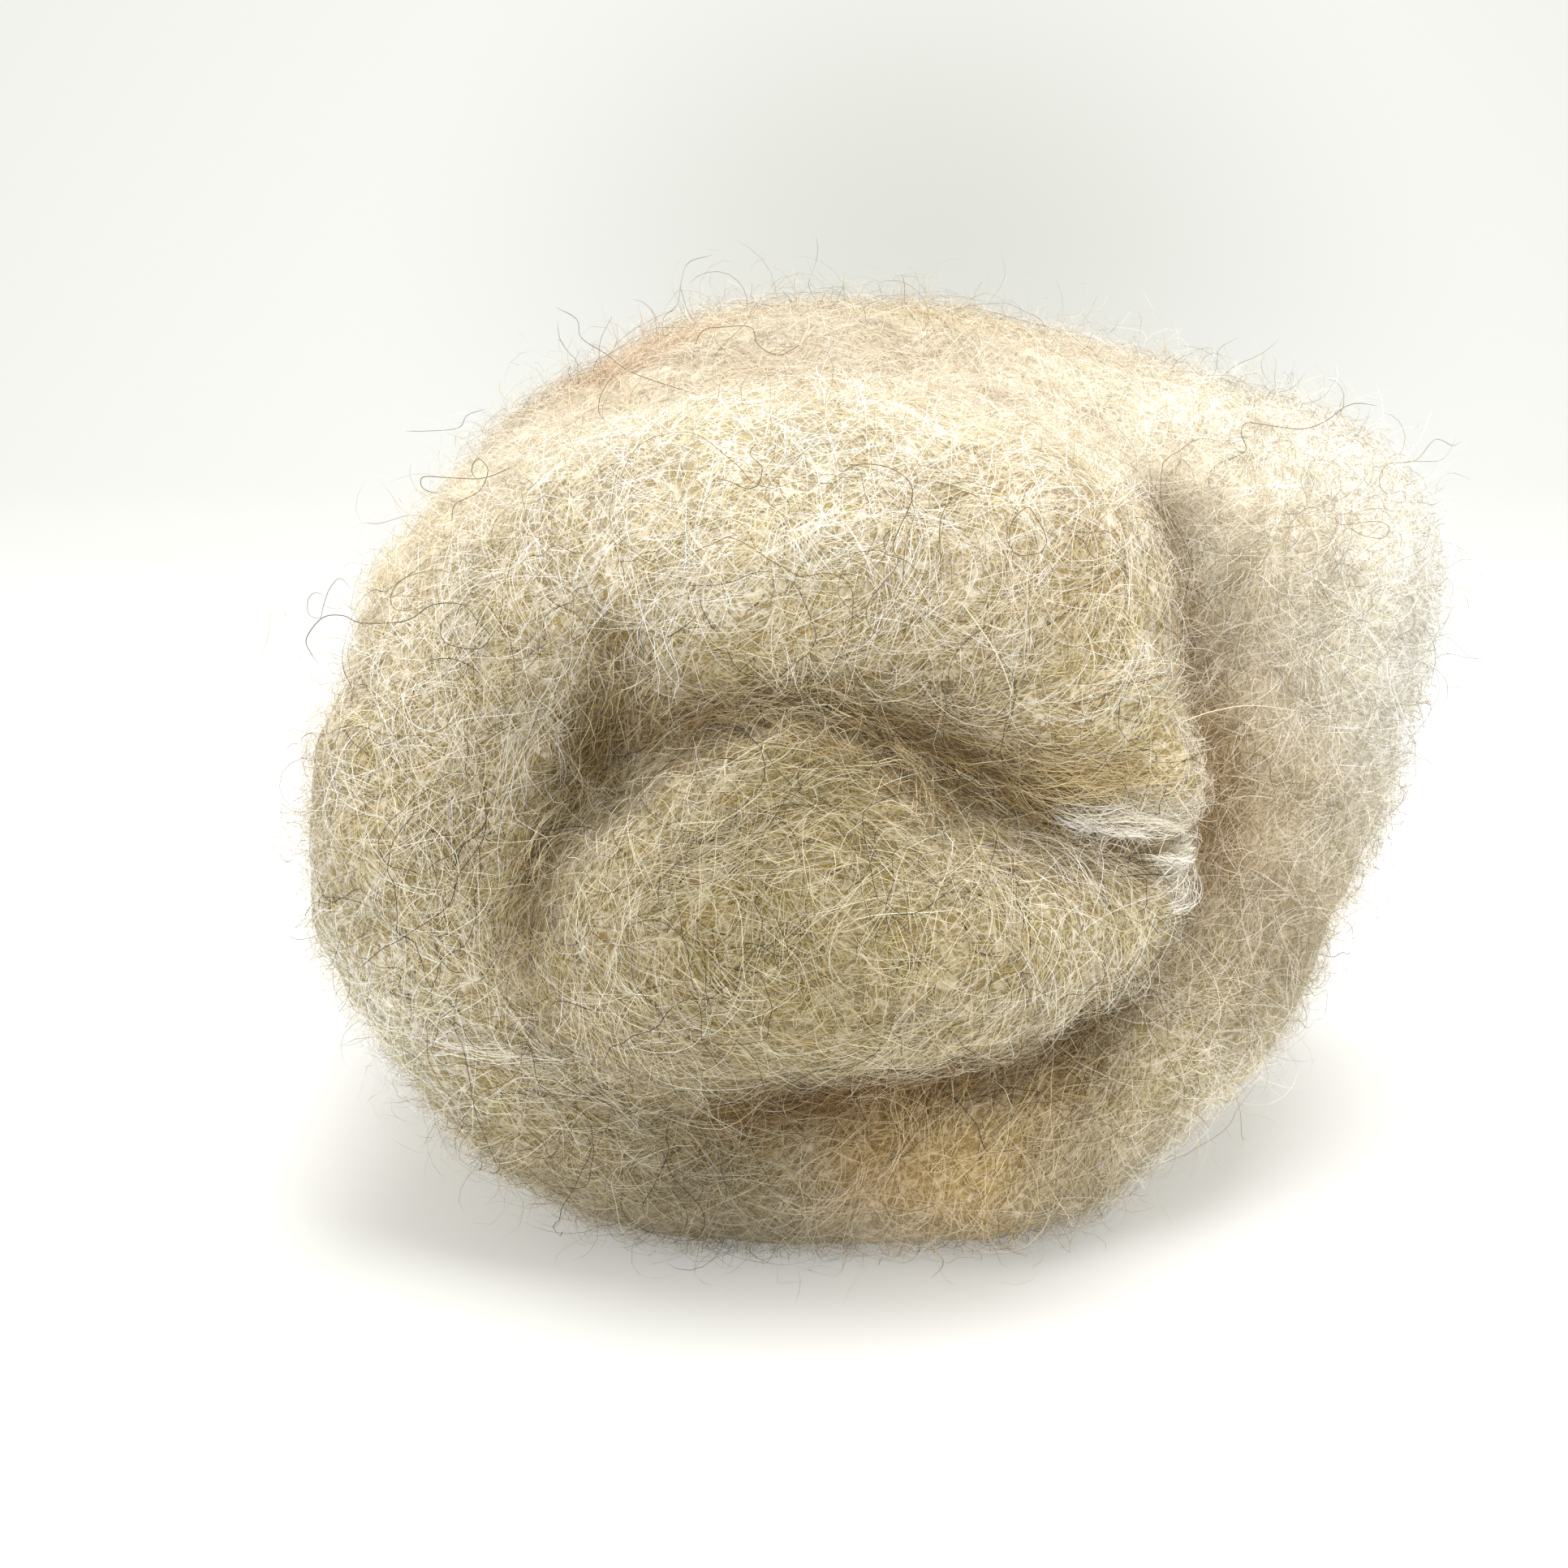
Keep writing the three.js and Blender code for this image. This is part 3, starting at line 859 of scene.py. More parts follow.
def arched(path, out, lift, dive):
    """The path lifted off the skin as an arch. lift and dive are metres for each fibre."""
    u = np.linspace(0, 1, path.shape[1])[None]
    rise = np.sin(math.pi * u) ** ARCH_POWER
    height = lift[:, None] * rise - dive[:, None] * (1 - rise)
    return path + out * height[..., None]


def crimped(path, out, amplitude, wavelength):
    along = np.gradient(path, axis=1)
    step = np.linalg.norm(along, axis=2)
    along = along / np.maximum(step, 1e-9)[..., None]
    side = np.cross(along, out)
    phase = 2 * math.pi * np.cumsum(step, 1) / wavelength[:, None]
    phase += chance.uniform(0, 2 * math.pi, (len(path), 1))
    sideways = (amplitude[:, None] * np.sin(phase))[..., None] * side
    upwards = (CRIMP_RISE * amplitude[:, None] * np.cos(phase * CRIMP_DRIFT))[..., None] * out
    return path + sideways + upwards


# %% [markdown]
# A layer's ribbons are written into one mesh at once. Every ribbon is widest in the middle
# and turned a little about its own length, so that no two catch the light alike. Each has its
# own small square of a UV map, side by side with the others, so that the colours can be
# baked without a fibre running into its neighbour.

# %% Ribbons
ABOVE_PAPER = 0.1 * MM
MOST_TILT = 0.6  # radians that a ribbon is turned about its own length
TIP_SHARE, WIDENING = 0.3, 5  # of the full width: at a tip, and gained over one length
CELL_MARGIN = 0.1  # of a fibre's square on the UV map stays empty on each side


def quads_to_mesh(name, points, quads, colours, uvs):
    mesh = bpy.data.meshes.new(name)
    mesh.vertices.add(len(points))
    mesh.vertices.foreach_set("co", points.ravel())
    mesh.loops.add(quads.size)
    mesh.loops.foreach_set("vertex_index", quads.ravel())
    mesh.polygons.add(len(quads))
    mesh.polygons.foreach_set("loop_start", np.arange(0, quads.size, 4))
    mesh.update(calc_edges=True)
    layer = mesh.uv_layers.new(name="OFBake")
    layer.data.foreach_set("uv", uvs[quads.ravel()].ravel())
    paint(mesh, "wool_tint", colours)
    mesh.polygons.foreach_set("use_smooth", np.ones(len(quads), bool))
    mesh.validate()
    return mesh


def ribbons(name, path, facing, width, colours, material):
    """One mesh object of flat ribbons. path and facing are (fibre, point, 3)."""
    count, length = path.shape[:2]
    along = np.gradient(path, axis=1)
    side = np.cross(along, facing)
    side /= np.maximum(np.linalg.norm(side, axis=2, keepdims=True), 1e-12)
    u = np.linspace(0, 1, length)
    taper = np.clip(np.minimum(u, 1 - u) * WIDENING + TIP_SHARE, 0, 1)
    reach = side * (width[:, None] * taper[None] / 2)[..., None]
    points = np.stack([path - reach, path + reach], 2)
    points[..., 2] = np.maximum(points[..., 2], ABOVE_PAPER)
    corner = np.arange(count * length * 2).reshape(count, length, 2)
    quads = np.stack(
        [corner[:, :-1, 0], corner[:, 1:, 0], corner[:, 1:, 1], corner[:, :-1, 1]], -1
    ).reshape(-1, 4)
    cells = math.ceil(math.sqrt(count))
    column, row = np.arange(count) % cells, np.arange(count) // cells
    across = np.array([CELL_MARGIN, 1 - CELL_MARGIN])
    uvs = np.stack(
        np.broadcast_arrays(
            (column[:, None, None] + across[0] + np.ptp(across) * u[None, :, None]) / cells,
            (row[:, None, None] + across[None, None]) / cells,
        ),
        -1,
    ).reshape(-1, 2)
    shades = np.repeat(colours, length * 2, axis=0)
    mesh = quads_to_mesh(name, points.reshape(-1, 3), quads, shades, uvs)
    mesh.materials.append(material)
    piece = bpy.data.objects.new(name, mesh)
    bpy.context.scene.collection.objects.link(piece)
    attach(piece, "root")
    print(name, count, "fibres", len(quads) * 2, "triangles")


def tilted(path, facing, most):
    """The facing ways, turned about each fibre by up to most radians."""
    along = np.gradient(path, axis=1)
    along /= np.maximum(np.linalg.norm(along, axis=2, keepdims=True), 1e-12)
    angle = chance.uniform(-most, most, (len(path), 1, 1))
    return facing * np.cos(angle) + np.cross(along, facing) * np.sin(angle)


# %% [markdown]
# ## The fibre's finish
# Each fibre keeps one colour, from a palette of what is in the fleece, times the tint of the place
# where it lies. Fine wool lets a little light through, but these ribbons are opaque.

# %% Material of the fibres
FLEECE = [
    # colour and share of the fibres
    ("#efe7d8", 0.32),
    ("#e4dac8", 0.24),
    ("#fdfaf3", 0.16),
    ("#d6c7a4", 0.14),
    ("#b09c72", 0.09),
    ("#7d6b4b", 0.05),
]
HALO = [("#d9cba8", 0.45), ("#b5a47e", 0.35), ("#857350", 0.20)]
GUARD_HAIRS = [("#5a4a2a", 0.4), ("#725e34", 0.35), ("#927d4d", 0.25)]
GUARD_CONTRAST = 0.75  # the least that guard hairs differ from the wool round them
DARKEST, LIGHTEST = 0.01, 0.97  # what wool may reflect of the light, at the least and most


def fibre_material(name, sheen):
    material, tree = new_material(name)
    tint = add_node(tree, "ShaderNodeAttribute", {"attribute_name": "wool_tint"}).outputs["Color"]
    shader = add_node(tree, "ShaderNodeBsdfPrincipled", Roughness=0.75, IOR=1.55)
    tree.links.new(tint, shader.inputs["Base Color"])
    shader.inputs["Specular IOR Level"].default_value = 0.25
    shader.inputs["Sheen Weight"].default_value = sheen
    add_node(tree, "ShaderNodeOutputMaterial", Surface=shader.outputs["BSDF"])
    return material


def fleece_colours(palette, points, shade=(1, 1, 1), spread=0.1, least_contrast=0):
    """One colour for each point: from the palette, times the layer's shade (painted shade low down,
    painted light on top), less varied where the contrast is low.
    """
    shares = np.array([share for _, share in palette])
    codes = np.array([linear(code) for code, _ in palette]) / np.array(CREAM)
    picked = codes[chance.choice(len(codes), len(points), p=shares / shares.sum())] * shade
    picked *= np.exp(chance.normal(0, spread, (len(points), 1)))
    picked = 1 + (picked - 1) * np.maximum(shade_and_contrast_at(points), least_contrast)[:, None]
    return np.clip(picked * tint_at(points), DARKEST, LIGHTEST)


fine_wool = fibre_material("fine_wool_fibre", 0.15)
guard_hair = fibre_material("guard_hair", 0.05)

# %% [markdown]
# ## The layers
# From the inside out: short fibres low in the gaps, made brown with painted shade, then three
# layers of fibres, each lighter, thinner and looser than the one below, the lighter tone being
# painted light that grows towards the top. The highest are 0.036 to 0.06 mm wide, near to real
# wool, and the deep ones are up to 0.14 mm, because they only have to fill the gaps.
# Carded fibres cling together, so four in ten are laid in wisps: a few fibres that start side
# by side, keep nearly the same way and share their tone. The counts keep each mesh under
# 200,000 triangles and all of them under a million.

# %% Layers of fine fibres
# a layer's shade is painted: darker for the deep layers as painted shade, lighter for the high one
# as painted light
LAYERS = [
    # lengths, widths and lifts in millimetres, bends in radians a step
    {
        "name": "deep_fibres", "count": 7500, "length": (4, 9), "width": (0.09, 0.14),
        "lift": (0.1, 0.8), "shade": (0.74, 0.68, 0.46), "bend": 0.45, "parts": 4,
    },
    {
        "name": "mat_fibres_low", "count": 19000, "length": (4, 10), "width": (0.055, 0.09),
        "lift": (0.4, 1.6), "shade": (0.82, 0.78, 0.58), "bend": 0.45, "parts": 4,
    },
    {
        "name": "mat_fibres_middle", "count": 22500, "length": (5, 12), "width": (0.045, 0.075),
        "lift": (0.8, 2.6), "shade": (1, 1, 0.98), "bend": 0.45, "parts": 4,
    },
    {
        "name": "mat_fibres_high", "count": 11500, "length": (9, 22), "width": (0.036, 0.06),
        "lift": (1.4, 3.6), "shade": (1.13, 1.14, 1.18), "bend": 0.42, "parts": 8,
    },
]
WISP = 8  # fibres that lie together
WISP_WIDTH = 0.8 * MM
WISP_FANNING = 0.22  # radians
LONE_SHARE = 0.6  # of the fibres aren't in a wisp
WISP_TONE = 0.06  # how much one wisp differs from the next
ROOT_DEPTH = 0.3 * MM  # how far a fibre's ends dive into the mat


def wisps(count):
    """Starts, ways and tones of fibres, some alone and some in wisps."""
    groups = math.ceil(count * (1 - LONE_SHARE) / WISP)
    lone = count - groups * WISP
    heads, out = scatter(groups + lone)
    ways = headings(heads, out)
    tone = chance.normal(0, WISP_TONE, len(heads))
    alone = np.arange(groups, groups + lone)
    members = np.concatenate([np.repeat(np.arange(groups), WISP), alone])
    together = (members < groups)[:, None]
    beside = chance.normal(0, WISP_WIDTH, (count, 3)) * together
    starts, out = onto_skin(heads[members] + beside)
    fanning = chance.normal(0, WISP_FANNING, count) * together[:, 0]
    return starts, out, turned(along_skin(ways[members], out), out, fanning), tone[members]


def layer_of_fibres(layer):
    count = layer["count"]
    starts, out, ways, tone = wisps(count)
    steps = layer["parts"] // 2
    stride = chance.uniform(*layer["length"], count) * MM / steps
    path, outs = walk(starts, out, ways, stride, steps, layer["bend"])
    path, outs = drawn_through(path, 2), drawn_through(outs, 2)
    lift = chance.uniform(*layer["lift"], count) * MM
    path = arched(path, outs, lift, np.full(count, ROOT_DEPTH))
    width = chance.uniform(*layer["width"], count) * MM
    shade = np.array(layer["shade"]) * np.exp(tone)[:, None]
    colours = fleece_colours(FLEECE, starts, shade)
    ribbons(layer["name"], path, tilted(path, outs, MOST_TILT), width, colours, fine_wool)


for layer in LAYERS:
    layer_of_fibres(layer)

# %% [markdown]
# Down is the short soft ends that stand up everywhere, and it is what blurs the outline. A
# fibre that leaves the mat is free to curl. It goes on as a helix: at each step its heading
# turns by a fixed angle, and the plane of that turn twists.


# %% Curls in the air
CURL_DOWN_SHARE = 0.75  # of the curls turn back to the mat, the others turn away from it
CURL_TWIST = 0.5  # radians a step
FUZZ_LEAN = 0.6  # how far a ribbon's face leans away from the way out of the mat


def free_curl(starts, ways, outs, stride, steps, turning, twisting):
    """Paths (fibre, step, 3) that curl through the air. Angles are radians a step."""
    heading, normal = ways, along_skin(outs, ways)
    points = [starts]
    c, s = np.cos(turning)[:, None], np.sin(turning)[:, None]
    ct, st = np.cos(twisting)[:, None], np.sin(twisting)[:, None]
    for _ in range(steps):
        points.append(points[-1] + heading * stride[:, None])
        heading, normal = heading * c + normal * s, normal * c - heading * s
        normal = normal * ct + np.cross(heading, normal) * st
    return np.stack(points, 1)


def fuzz(row):
    count = row["count"]
    starts, out = scatter(count, row["towards_camera"], row.get("mask"))
    ways = headings(starts, out)
    rise = chance.uniform(*row["upright"], count)[:, None]
    ways = ways * np.cos(rise) + out * np.sin(rise)
    stride = chance.uniform(*row["length"], count) * MM / row["steps"]
    signs = np.where(chance.random(count) < CURL_DOWN_SHARE, -1.0, 1.0)
    turning = signs * chance.uniform(*row["turning"], count)
    twisting = chance.normal(0, CURL_TWIST, count)
    path = free_curl(starts, ways, out, stride, row["steps"], turning, twisting)
    leaning = chance.normal(0, FUZZ_LEAN, (count, 1, 3))
    facing = np.broadcast_to(leaning + out[:, None], path.shape)
    coarse = row["palette"] is GUARD_HAIRS
    colours = fleece_colours(row["palette"], starts, least_contrast=GUARD_CONTRAST * coarse)
    width = chance.uniform(*row["width"], count) * MM
    ribbons(row["name"], path, facing, width, colours, guard_hair if coarse else fine_wool)


fuzz({
    "name": "down", "count": 18000, "length": (3.5, 9.0), "steps": 3, "turning": (0.3, 1.0),
    "width": (0.04, 0.065), "towards_camera": 0.2, "upright": (0.2, 1.2), "palette": FLEECE,
})
fuzz({
    "name": "halo_curls", "count": 7000, "length": (7, 17), "steps": 6, "turning": (0.3, 0.95),
    "width": (0.045, 0.07), "towards_camera": 0.0, "upright": (0.5, 1.4), "palette": HALO,
})

# %% [markdown]
# ## Guard hairs
# Guard hairs are the coarse dark fibres of the fleece. There are few, but each is seen,
# because it is darker than all round it and keeps its crimp. Most lie on the mat, some wander
# over it in wide loops, the flap at the back right has many wavy ones, and a few stand off
# the outline as dark curls. A last fuzz of pale fibres makes the flap's outline soft and
# uneven.

# %% Guard hairs
GUARD_SORTS = [
    # lengths, lifts, crimp heights and crimp lengths, and widths in millimetres
    {
        "name": "guard_hairs", "count": 1300, "length": (6, 16), "steps": 5, "between": 3,
        "bend": 0.4, "lift": (1.2, 3.0), "crimp": (0.1, 0.35), "wave": (3.5, 6),
        "width": (0.065, 0.10),
    },
    {
        "name": "looped_hairs", "count": 300, "length": (20, 42), "steps": 16, "between": 2,
        "bend": 0.38, "lift": (1.6, 5.0), "crimp": (0.0, 0.25), "wave": (6, 9),
        "width": (0.07, 0.11),
    },
]
GUARD_ROOT_DEPTH = 0.2 * MM


def on_flap(places, out):
    """1 on the flap at the back right, 0 elsewhere."""
    to_the_right = np.interp(places[:, 0] / MM, [44, 52], [0, 1])
    up = np.interp(places[:, 2] / MM, [36, 56], [0, 1])
    return to_the_right * up


def guard_hairs(sort, mask):
    count = sort["count"]
    starts, out = scatter(count, 1.0, mask)
    stride = chance.uniform(*sort["length"], count) * MM / sort["steps"]
    path, outs = walk(starts, out, headings(starts, out), stride, sort["steps"], sort["bend"])
    path, outs = drawn_through(path, sort["between"]), drawn_through(outs, sort["between"])
    lift = chance.uniform(*sort["lift"], count) * MM
    path = arched(path, outs, lift, np.full(count, GUARD_ROOT_DEPTH))
    crimp = chance.uniform(*sort["crimp"], count) * MM
    path = crimped(path, outs, crimp, chance.uniform(*sort["wave"], count) * MM)
    width = chance.uniform(*sort["width"], count) * MM
    colours = fleece_colours(GUARD_HAIRS, starts, least_contrast=GUARD_CONTRAST)
    ribbons(sort["name"], path, tilted(path, outs, MOST_TILT), width, colours, guard_hair)


for sort in GUARD_SORTS:
    guard_hairs(sort, None)

FLAP_HAIRS = {
    "name": "flap_hairs", "count": 900, "length": (7, 18), "steps": 6, "between": 3,
    "bend": 0.4, "lift": (1.8, 3.8), "crimp": (0.25, 0.7), "wave": (3.0, 5.5),
    "width": (0.07, 0.11),
}
guard_hairs(FLAP_HAIRS, on_flap)

LOOSE_ENDS = [
    # lengths and widths in millimetres, turns and rise off the mat in radians
    {
        "name": "halo_hairs", "count": 600, "length": (7, 17), "steps": 9, "turning": (0.2, 0.6),
        "width": (0.06, 0.09), "towards_camera": 0.0, "upright": (0.6, 1.4),
        "palette": GUARD_HAIRS,
    },
    {
        "name": "flap_curls", "count": 600, "length": (7, 16), "steps": 9,
        "turning": (0.25, 0.7), "width": (0.06, 0.09), "towards_camera": 0.0,
        "upright": (0.5, 1.4), "palette": GUARD_HAIRS, "mask": on_flap,
    },
    {
        "name": "flap_fluff", "count": 2500, "length": (6, 13), "steps": 5,
        "turning": (0.3, 0.9), "width": (0.04, 0.06), "towards_camera": 0.0,
        "upright": (0.5, 1.4), "palette": FLEECE, "mask": on_flap,
    },
]
for row in LOOSE_ENDS:
    fuzz(row)

# %% [markdown]
# ## Locks
# Where fibres were drawn together they lie side by side as a lock. Each lock here is a path on the
# front, a spread to each side, a colour and a count. The white ones are a pale tuft caught in the
# pinch, a small knot of fibre and a pale line low on the left. The brown ones run down into the
# pinch and the tuck, and their brown is painted shade of those creases.

# %% Locks
LOCKS = [
    # paths (x, z), spreads, lengths and lifts in millimetres
    {
        "name": "white_tuft", "path": [(21, 66.5), (28, 66.5), (36, 67), (43, 68)], "spread": 1.8,
        "count": 280, "length": (4, 9), "lift": (1.2, 4.2), "colour": "#f4ecdc", "curl": 0.7,
        "uneven": 0.08,
    },
    {
        "name": "white_strand", "path": [(20, 66.5), (26, 65), (32, 64)], "spread": 0.5,
        "count": 45, "length": (4, 8), "lift": (2.2, 3.6), "colour": "#fffdf8", "curl": 0.2,
    },
    {
        "name": "white_blob", "path": [(34.5, 61), (38.5, 58.5), (37.5, 55.5)], "spread": 1.9,
        "count": 200, "length": (2.5, 6), "lift": (1.6, 4.4), "colour": "#f9f3e6", "curl": 1.0,
        "uneven": 0.06,
    },
    {
        "name": "nep", "path": [(-16.5, 107), (-14, 107.5), (-13, 105.5)], "spread": 1.3,
        "count": 45, "length": (2, 5), "lift": (1.6, 2.8), "colour": "#f0e9da", "curl": 2.2,
    },
    {
        "name": "curl_tip", "path": [(-4, 78.5), (0, 75), (3, 71.5)], "spread": 0.8,
        "count": 70, "length": (3, 8), "lift": (1.4, 2.8), "colour": "#f0d8aa", "curl": 0.3,
    },
    {
        "name": "curl_edge", "path": [(-27, 58), (-26, 70), (-23, 79), (-13, 83.5), (-4, 81)],
        "spread": 1.8, "count": 50, "length": (6, 14), "lift": (1.2, 2.4), "colour": "#d2c7a8",
        "curl": 0.3,
    },
    {
        "name": "ochre_streak", "path": [(14, 72.5), (24, 72.5), (35, 74.5)], "spread": 1.2,
        "count": 55, "length": (5, 12), "lift": (1.8, 3.0), "colour": "#e8d3a2", "curl": 0.3,
    },
    # brown fibres along the pinch, brown as painted shade of the crease
    {
        "name": "pinch_strands", "path": [(-12, 84), (-3, 80), (5, 74.5), (14, 71), (25, 65)],
        "spread": 2.4, "count": 240, "length": (6, 15), "lift": (0.8, 2.4), "colour": "#937743",
        "curl": 0.3, "uneven": 0.3,
    },
    {
        "name": "pinch_threads", "path": [(-14, 86), (-3, 81), (5, 76), (14, 72), (27, 65)],
        "spread": 3.0, "count": 60, "length": (6, 15), "lift": (1.8, 3.4), "colour": "#d5c6a0",
        "curl": 0.4, "uneven": 0.3,
    },
    {
        "name": "branch_strands", "path": [(6, 77), (15, 75), (26, 73), (34, 73)], "spread": 1.6,
        "count": 70, "length": (6, 13), "lift": (1.0, 2.4), "colour": "#c9b283", "curl": 0.3,
    },
    # brown fibres along the tuck, brown as painted shade of the crease
    {
        "name": "tuck_strands", "path": [(-38, 95), (-39, 86), (-43, 76), (-49, 66), (-52, 54)],
        "spread": 2.2, "count": 130, "length": (5, 11), "lift": (0.8, 2.2), "colour": "#87743f",
        "curl": 0.4, "uneven": 0.3,
    },
    {
        "name": "tuck_threads", "path": [(-37, 94), (-39, 84), (-44, 74), (-50, 62), (-53, 50)],
        "spread": 3.0, "count": 36, "length": (5, 12), "lift": (1.6, 3.2), "colour": "#cabd98",
        "curl": 0.5, "uneven": 0.3,
    },
    {
        "name": "pale_line",
        "path": [(-77, 41.5), (-72.5, 39), (-67, 36.5), (-57, 35.5), (-46, 35.5)],
        "spread": 1.0, "count": 42, "length": (7, 15), "lift": (1.4, 2.8), "colour": "#efe8d8",
        "curl": 0.2,
    },
    {
        "name": "core_edge", "path": [(-6, 30), (8, 31), (20, 34), (31, 40), (39, 49)],
        "spread": 1.3, "count": 75, "length": (6, 14), "lift": (1.2, 2.4), "colour": "#ded4ba",
        "curl": 0.3,
    },
]

BEFORE_ALL = -100  # y in millimetres, in front of all the wool
FRONT_EDGE = -40  # y near which the front turns into the sides


def front_skin(flat):
    """Where (x, z) places in millimetres meet the front of the mat, seen level from the front."""
    found = []
    for x, z in flat.reshape(-1, 2).tolist():
        spot = Vector((x, BEFORE_ALL, z)) * MM
        hit, normal, _, _ = skin.ray_cast(spot, Vector((0, 1, 0)))
        if hit is None:
            hit, normal, _, _ = skin.find_nearest(Vector((x, FRONT_EDGE, z)) * MM)
        found.append((*hit, *normal))
    found = np.array(found).reshape(*flat.shape[:-1], 6)
    return found[..., :3], found[..., 3:]


LOCK_WAVER = 0.12  # millimetres that a point of a fibre strays
LOCK_UNEVEN = 0.14  # how much the fibres of most locks differ in tone
LOCK_WIDTH = (0.05, 0.085)  # millimetres


def lock(row, points=5):
    path, count = np.array(row["path"], float), row["count"]
    legs = np.linalg.norm(np.diff(path, axis=0), axis=1)
    marks = np.concatenate([[0], np.cumsum(legs)])
    length = chance.uniform(*row["length"], count)
    start = chance.uniform(-0.25 * length, marks[-1] - 0.6 * length)
    along = start[:, None] + length[:, None] * np.linspace(0, 1, points)
    flat = np.stack([np.interp(along, marks, path[:, k]) for k in (0, 1)], -1)
    beyond = np.clip(along - marks[-1], 0, None) + np.clip(along, None, 0)
    end = (path[-1] - path[-2]) / legs[-1]
    flat += beyond[..., None] * end
    aside = np.array([-end[1], end[0]])
    bow = np.linspace(-1, 1, points) ** 2 * length[:, None] / 2
    offset = chance.normal(0, row["curl"], (count, 1)) * bow
    offset += chance.normal(0, row["spread"], (count, 1))
    offset += chance.normal(0, LOCK_WAVER, (count, points))
    flat += offset[..., None] * aside
    ground, outs = front_skin(flat)
    lift = chance.uniform(*row["lift"], count) * MM
    ready = drawn_through(arched(ground, outs, lift, np.full(count, ROOT_DEPTH)), 2)
    return ready, drawn_through(outs, 2)


def add_locks(name, rows):
    paths, outs, colours = [], [], []
    for row in rows:
        path, out = lock(row)
        paths.append(path)
        outs.append(out)
        tone = np.exp(chance.normal(0, row.get("uneven", LOCK_UNEVEN), (row["count"], 1)))
        colours.append(np.minimum(np.array(linear(row["colour"])) * tone, LIGHTEST))
    path, out = np.concatenate(paths), np.concatenate(outs)
    width = chance.uniform(*LOCK_WIDTH, len(path)) * MM
    ribbons(name, path, tilted(path, out, MOST_TILT), width, np.concatenate(colours), fine_wool)


add_locks("locks", LOCKS)

# %% [markdown]
# ## The hairs that stand out
# A few long hairs are part of how this batt looks, so they are set one by one: each is a
# short list of places in millimetres with a curve drawn through them. They are round, made as
# thin four-sided tubes.

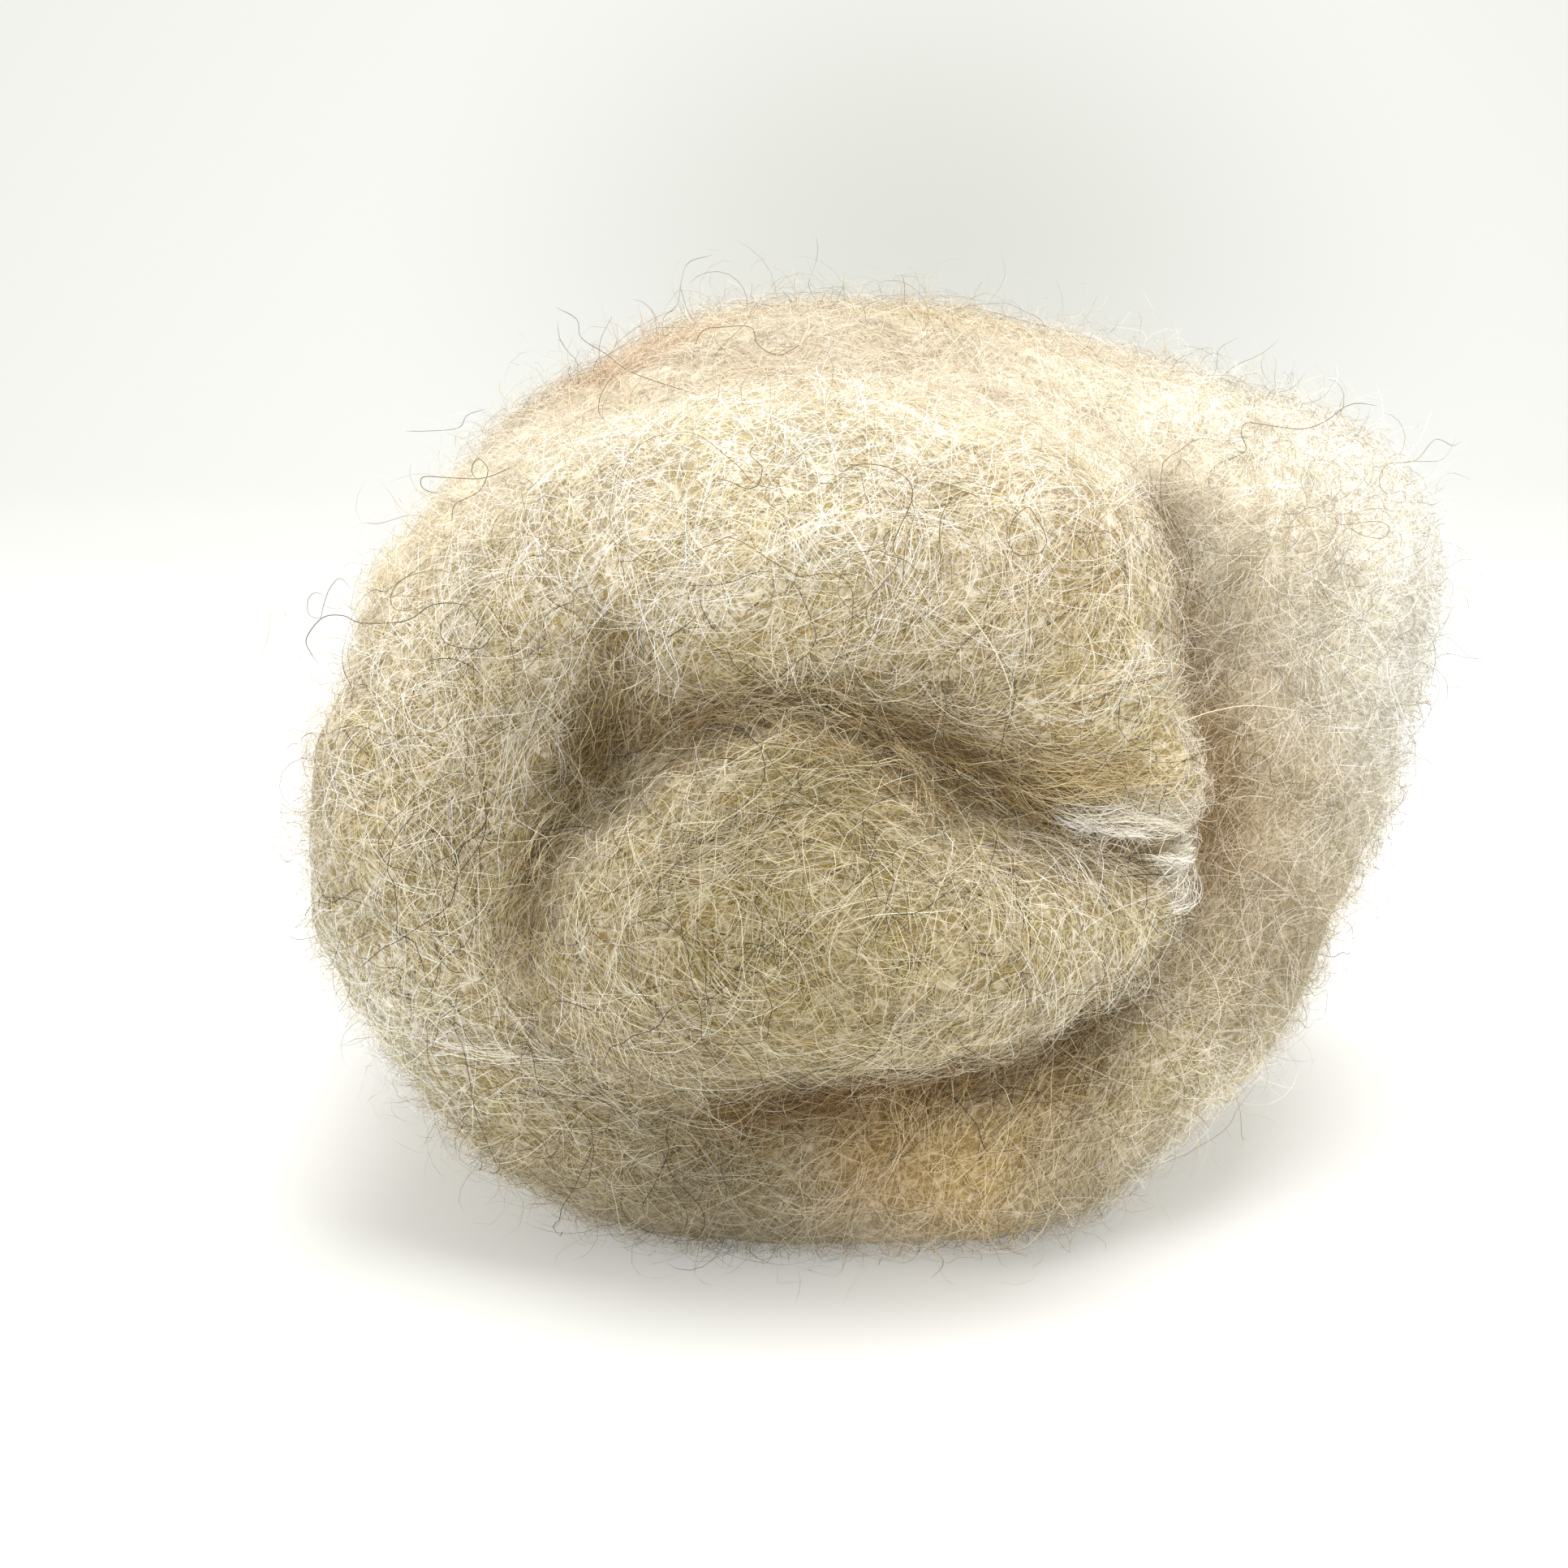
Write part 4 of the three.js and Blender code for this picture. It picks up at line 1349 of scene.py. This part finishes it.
# %% Long single hairs
SINGLE_HAIRS = [
    {
        "colour": "#6b6358",
        "at": [
            (-51, 8, 132), (-47.5, 3, 130.5), (-46.5, -1, 128), (-42.5, -6, 126), (-39, -11, 124),
            (-34, -15, 122.5), (-27.5, -20, 121),
        ],
    },
    {
        "colour": "#87837b",
        "at": [
            (-27.5, 20, 139.5), (-31, 16, 138.5), (-32, 12, 136), (-32.5, 8, 132.5),
            (-34.5, 4, 130.5), (-34, 0, 127),
        ],
    },
    {
        "colour": "#7a6d50",
        "at": [
            (-29.5, -8, 127), (-28, -8, 129.5), (-25, -8, 130), (-21, -9, 130), (-20, -9, 127.5),
            (-17, -9, 126), (-14, -10, 127.5), (-16.5, -10, 126),
        ],
    },
    {
        "colour": "#6e6240",
        "at": [
            (-40.5, -12, 124), (-42, -22, 121.5), (-41.5, -31, 119.5), (-38.5, -40, 118.5),
            (-36, -50, 118),
        ],
    },
    {
        "colour": "#8d9494",
        "at": [
            (-77, 20, 112), (-73.5, 20, 112), (-68.5, 20, 112.5), (-67, 20, 114.5),
            (-64, 20, 115.5),
        ],
    },
    {
        "colour": "#4f4a38",
        "at": [
            (-79, -44, 87), (-80, -45, 89), (-80.5, -45, 91), (-78, -46, 94), (-75, -47, 94.5),
            (-72.5, -47, 93.5), (-66.5, -48, 94), (-62.5, -50, 96.5), (-58.5, -50, 96.5),
            (-56.5, -51, 94.5), (-55, -51, 92.5), (-56.5, -52, 91), (-60.5, -53, 92),
            (-61, -53, 94.5), (-59, -54, 96.5),
        ],
    },
    {
        "colour": "#857650",
        "at": [
            (-60.5, -46, 100), (-62.5, -46, 100.5), (-66.5, -46, 99.5), (-68.5, -46, 97.5),
            (-68.5, -46, 95.5), (-67, -46, 95), (-64, -46, 95.5),
        ],
    },
    {
        "colour": "#9a9b97",
        "at": [
            (-75.5, -38, 96.5), (-77, -38, 98), (-78.5, -38, 96.5), (-79.5, -38, 94),
            (-80, -38, 92.5), (-81.5, -38, 93), (-81.5, -38, 95), (-80.5, -38, 96),
            (-79, -38, 95.5),
        ],
    },
    {
        "colour": "#766d5c",
        "at": [
            (-64, -30, 108.5), (-66, -30, 109), (-66.5, -31, 110), (-66, -31, 111),
            (-62.5, -32, 111), (-58, -33, 111), (-55, -34, 112), (-53, -34, 113),
        ],
    },
    {
        "colour": "#766d5c",
        "at": [
            (-62, -34, 105), (-61.5, -34, 107.5), (-59.5, -33, 108.5), (-58, -32, 109.5),
            (-57, -32, 112), (-58, -32, 113.5), (-59, -31, 113), (-59.5, -30, 111.5),
            (-58.5, -30, 110),
        ],
    },
    {
        "colour": "#d8d3c0",
        "at": [
            (-93, -20, 83), (-91.5, -20, 86.5), (-91, -20, 89.5), (-89, -20, 90),
            (-88.5, -20, 88.5), (-84, -20, 86),
        ],
    },
    {
        "colour": "#6f7174",
        "at": [
            (73, -2, 118), (70, -3, 118.5), (67.5, -4, 118), (64.5, -5, 116), (61, -6, 115),
            (56.5, -7, 115.5), (52.5, -7, 116), (51.5, -8, 114.5), (52, -9, 112),
            (47.5, -10, 110), (46.5, -11, 107.5), (48.5, -12, 105),
        ],
    },
    {
        "colour": "#9a9584",
        "at": [
            (86.5, 0, 112.5), (85, -1, 112), (82, -2, 113), (79, -3, 110), (74.5, -4, 109.5),
            (73, -6, 107), (74, -7, 105.5), (76, -8, 106), (76, -9, 104.5), (73, -10, 105),
        ],
    },
    {
        "colour": "#928565",
        "at": [
            (71, -15, 103.5), (65, -15, 103.5), (65.5, -15, 102), (70.5, -15, 102.5),
            (72.5, -15, 101.5), (71.5, -15, 100), (68.5, -15, 100.5), (66.5, -15, 101.5),
            (65, -15, 100),
        ],
    },
    {
        "colour": "#efe2c2",
        "at": [
            (36, -54, 81.5), (42.5, -43, 80.5), (50, -33, 79), (59.5, -24, 76),
        ],
    },
    {
        "colour": "#6f6245",
        "at": [
            (-10, -58, 114), (-7, -59, 116), (-2.5, -60, 115.5), (0, -60, 112.5),
            (-2.5, -62, 106.5), (-2, -63, 104), (-5.5, -64, 99.5), (-5.5, -64, 96.5),
            (-2.5, -64, 93.5),
        ],
    },
    {
        "colour": "#7a6a48",
        "at": [
            (3.5, -62, 103.5), (3.5, -61, 109.5), (6, -59, 112.5), (9, -58, 111.5),
        ],
    },
    {
        "colour": "#6d6148",
        "at": [
            (-19.5, -55, 118.5), (-20.5, -56, 117), (-19, -58, 115.5), (-19.5, -59, 113.5),
            (-21, -59, 113), (-23, -60, 114), (-25, -60, 114.5),
        ],
    },
    {
        "colour": "#efe4c8",
        "at": [
            (6, -64, 99.5), (10.5, -64, 93), (13, -63, 87),
        ],
    },
    {
        "colour": "#5a4c2c",
        "at": [
            (36, -20, 107.5), (37, -22, 106), (37, -24, 104.5), (35.5, -27, 103),
        ],
    },
]
HAIR_SIDES = 4
HAIR_RADIUS = 0.065 * MM
HAIR_TIP_SHARE, HAIR_WIDENING = 0.25, 8


def tube(path, radius, sides):
    """Points and quads of a closed thin tube, tapered to its ends."""
    along = np.gradient(path, axis=0)
    along /= np.linalg.norm(along, axis=1, keepdims=True)
    guide = np.array([0.3, 0.9, 0.2])
    first = np.cross(along, guide)
    first /= np.linalg.norm(first, axis=1, keepdims=True)
    second = np.cross(along, first)
    u = np.linspace(0, 1, len(path))
    size = radius * np.clip(np.minimum(u, 1 - u) * HAIR_WIDENING + HAIR_TIP_SHARE, 0, 1)
    turn = 2 * math.pi * np.arange(sides) / sides
    ring = first[:, None] * np.cos(turn)[None, :, None]
    ring = ring + second[:, None] * np.sin(turn)[None, :, None]
    points = path[:, None] + ring * size[:, None, None]
    index = np.arange(len(path) * sides).reshape(len(path), sides)
    after = np.roll(index, -1, axis=1)
    faces = np.stack([index[:-1], index[1:], after[1:], after[:-1]], -1).reshape(-1, 4).tolist()
    faces.append(index[0].tolist())
    faces.append(index[-1][::-1].tolist())
    return points.reshape(-1, 3), faces


def single_hairs(name, rows, radius):
    points, faces, colours = [], [], []
    for row in rows:
        path = drawn_through(np.array(row["at"], float)[None] * MM, 5)[0]
        ring, skinned = tube(path, radius, HAIR_SIDES)
        base = sum(len(p) for p in points)
        faces += [[base + corner for corner in face] for face in skinned]
        points.append(ring)
        colours.append(np.tile(linear(row["colour"]), (len(ring), 1)))
    mesh = bpy.data.meshes.new(name)
    mesh.from_pydata(np.concatenate(points).tolist(), [], faces)
    paint(mesh, "wool_tint", np.concatenate(colours))
    mesh.materials.append(guard_hair)
    piece = bpy.data.objects.new(name, mesh)
    bpy.context.scene.collection.objects.link(piece)
    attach(piece, "root")
    print(name, len(rows), "hairs", len(faces), "faces")


single_hairs("long_single_hairs", SINGLE_HAIRS, HAIR_RADIUS)
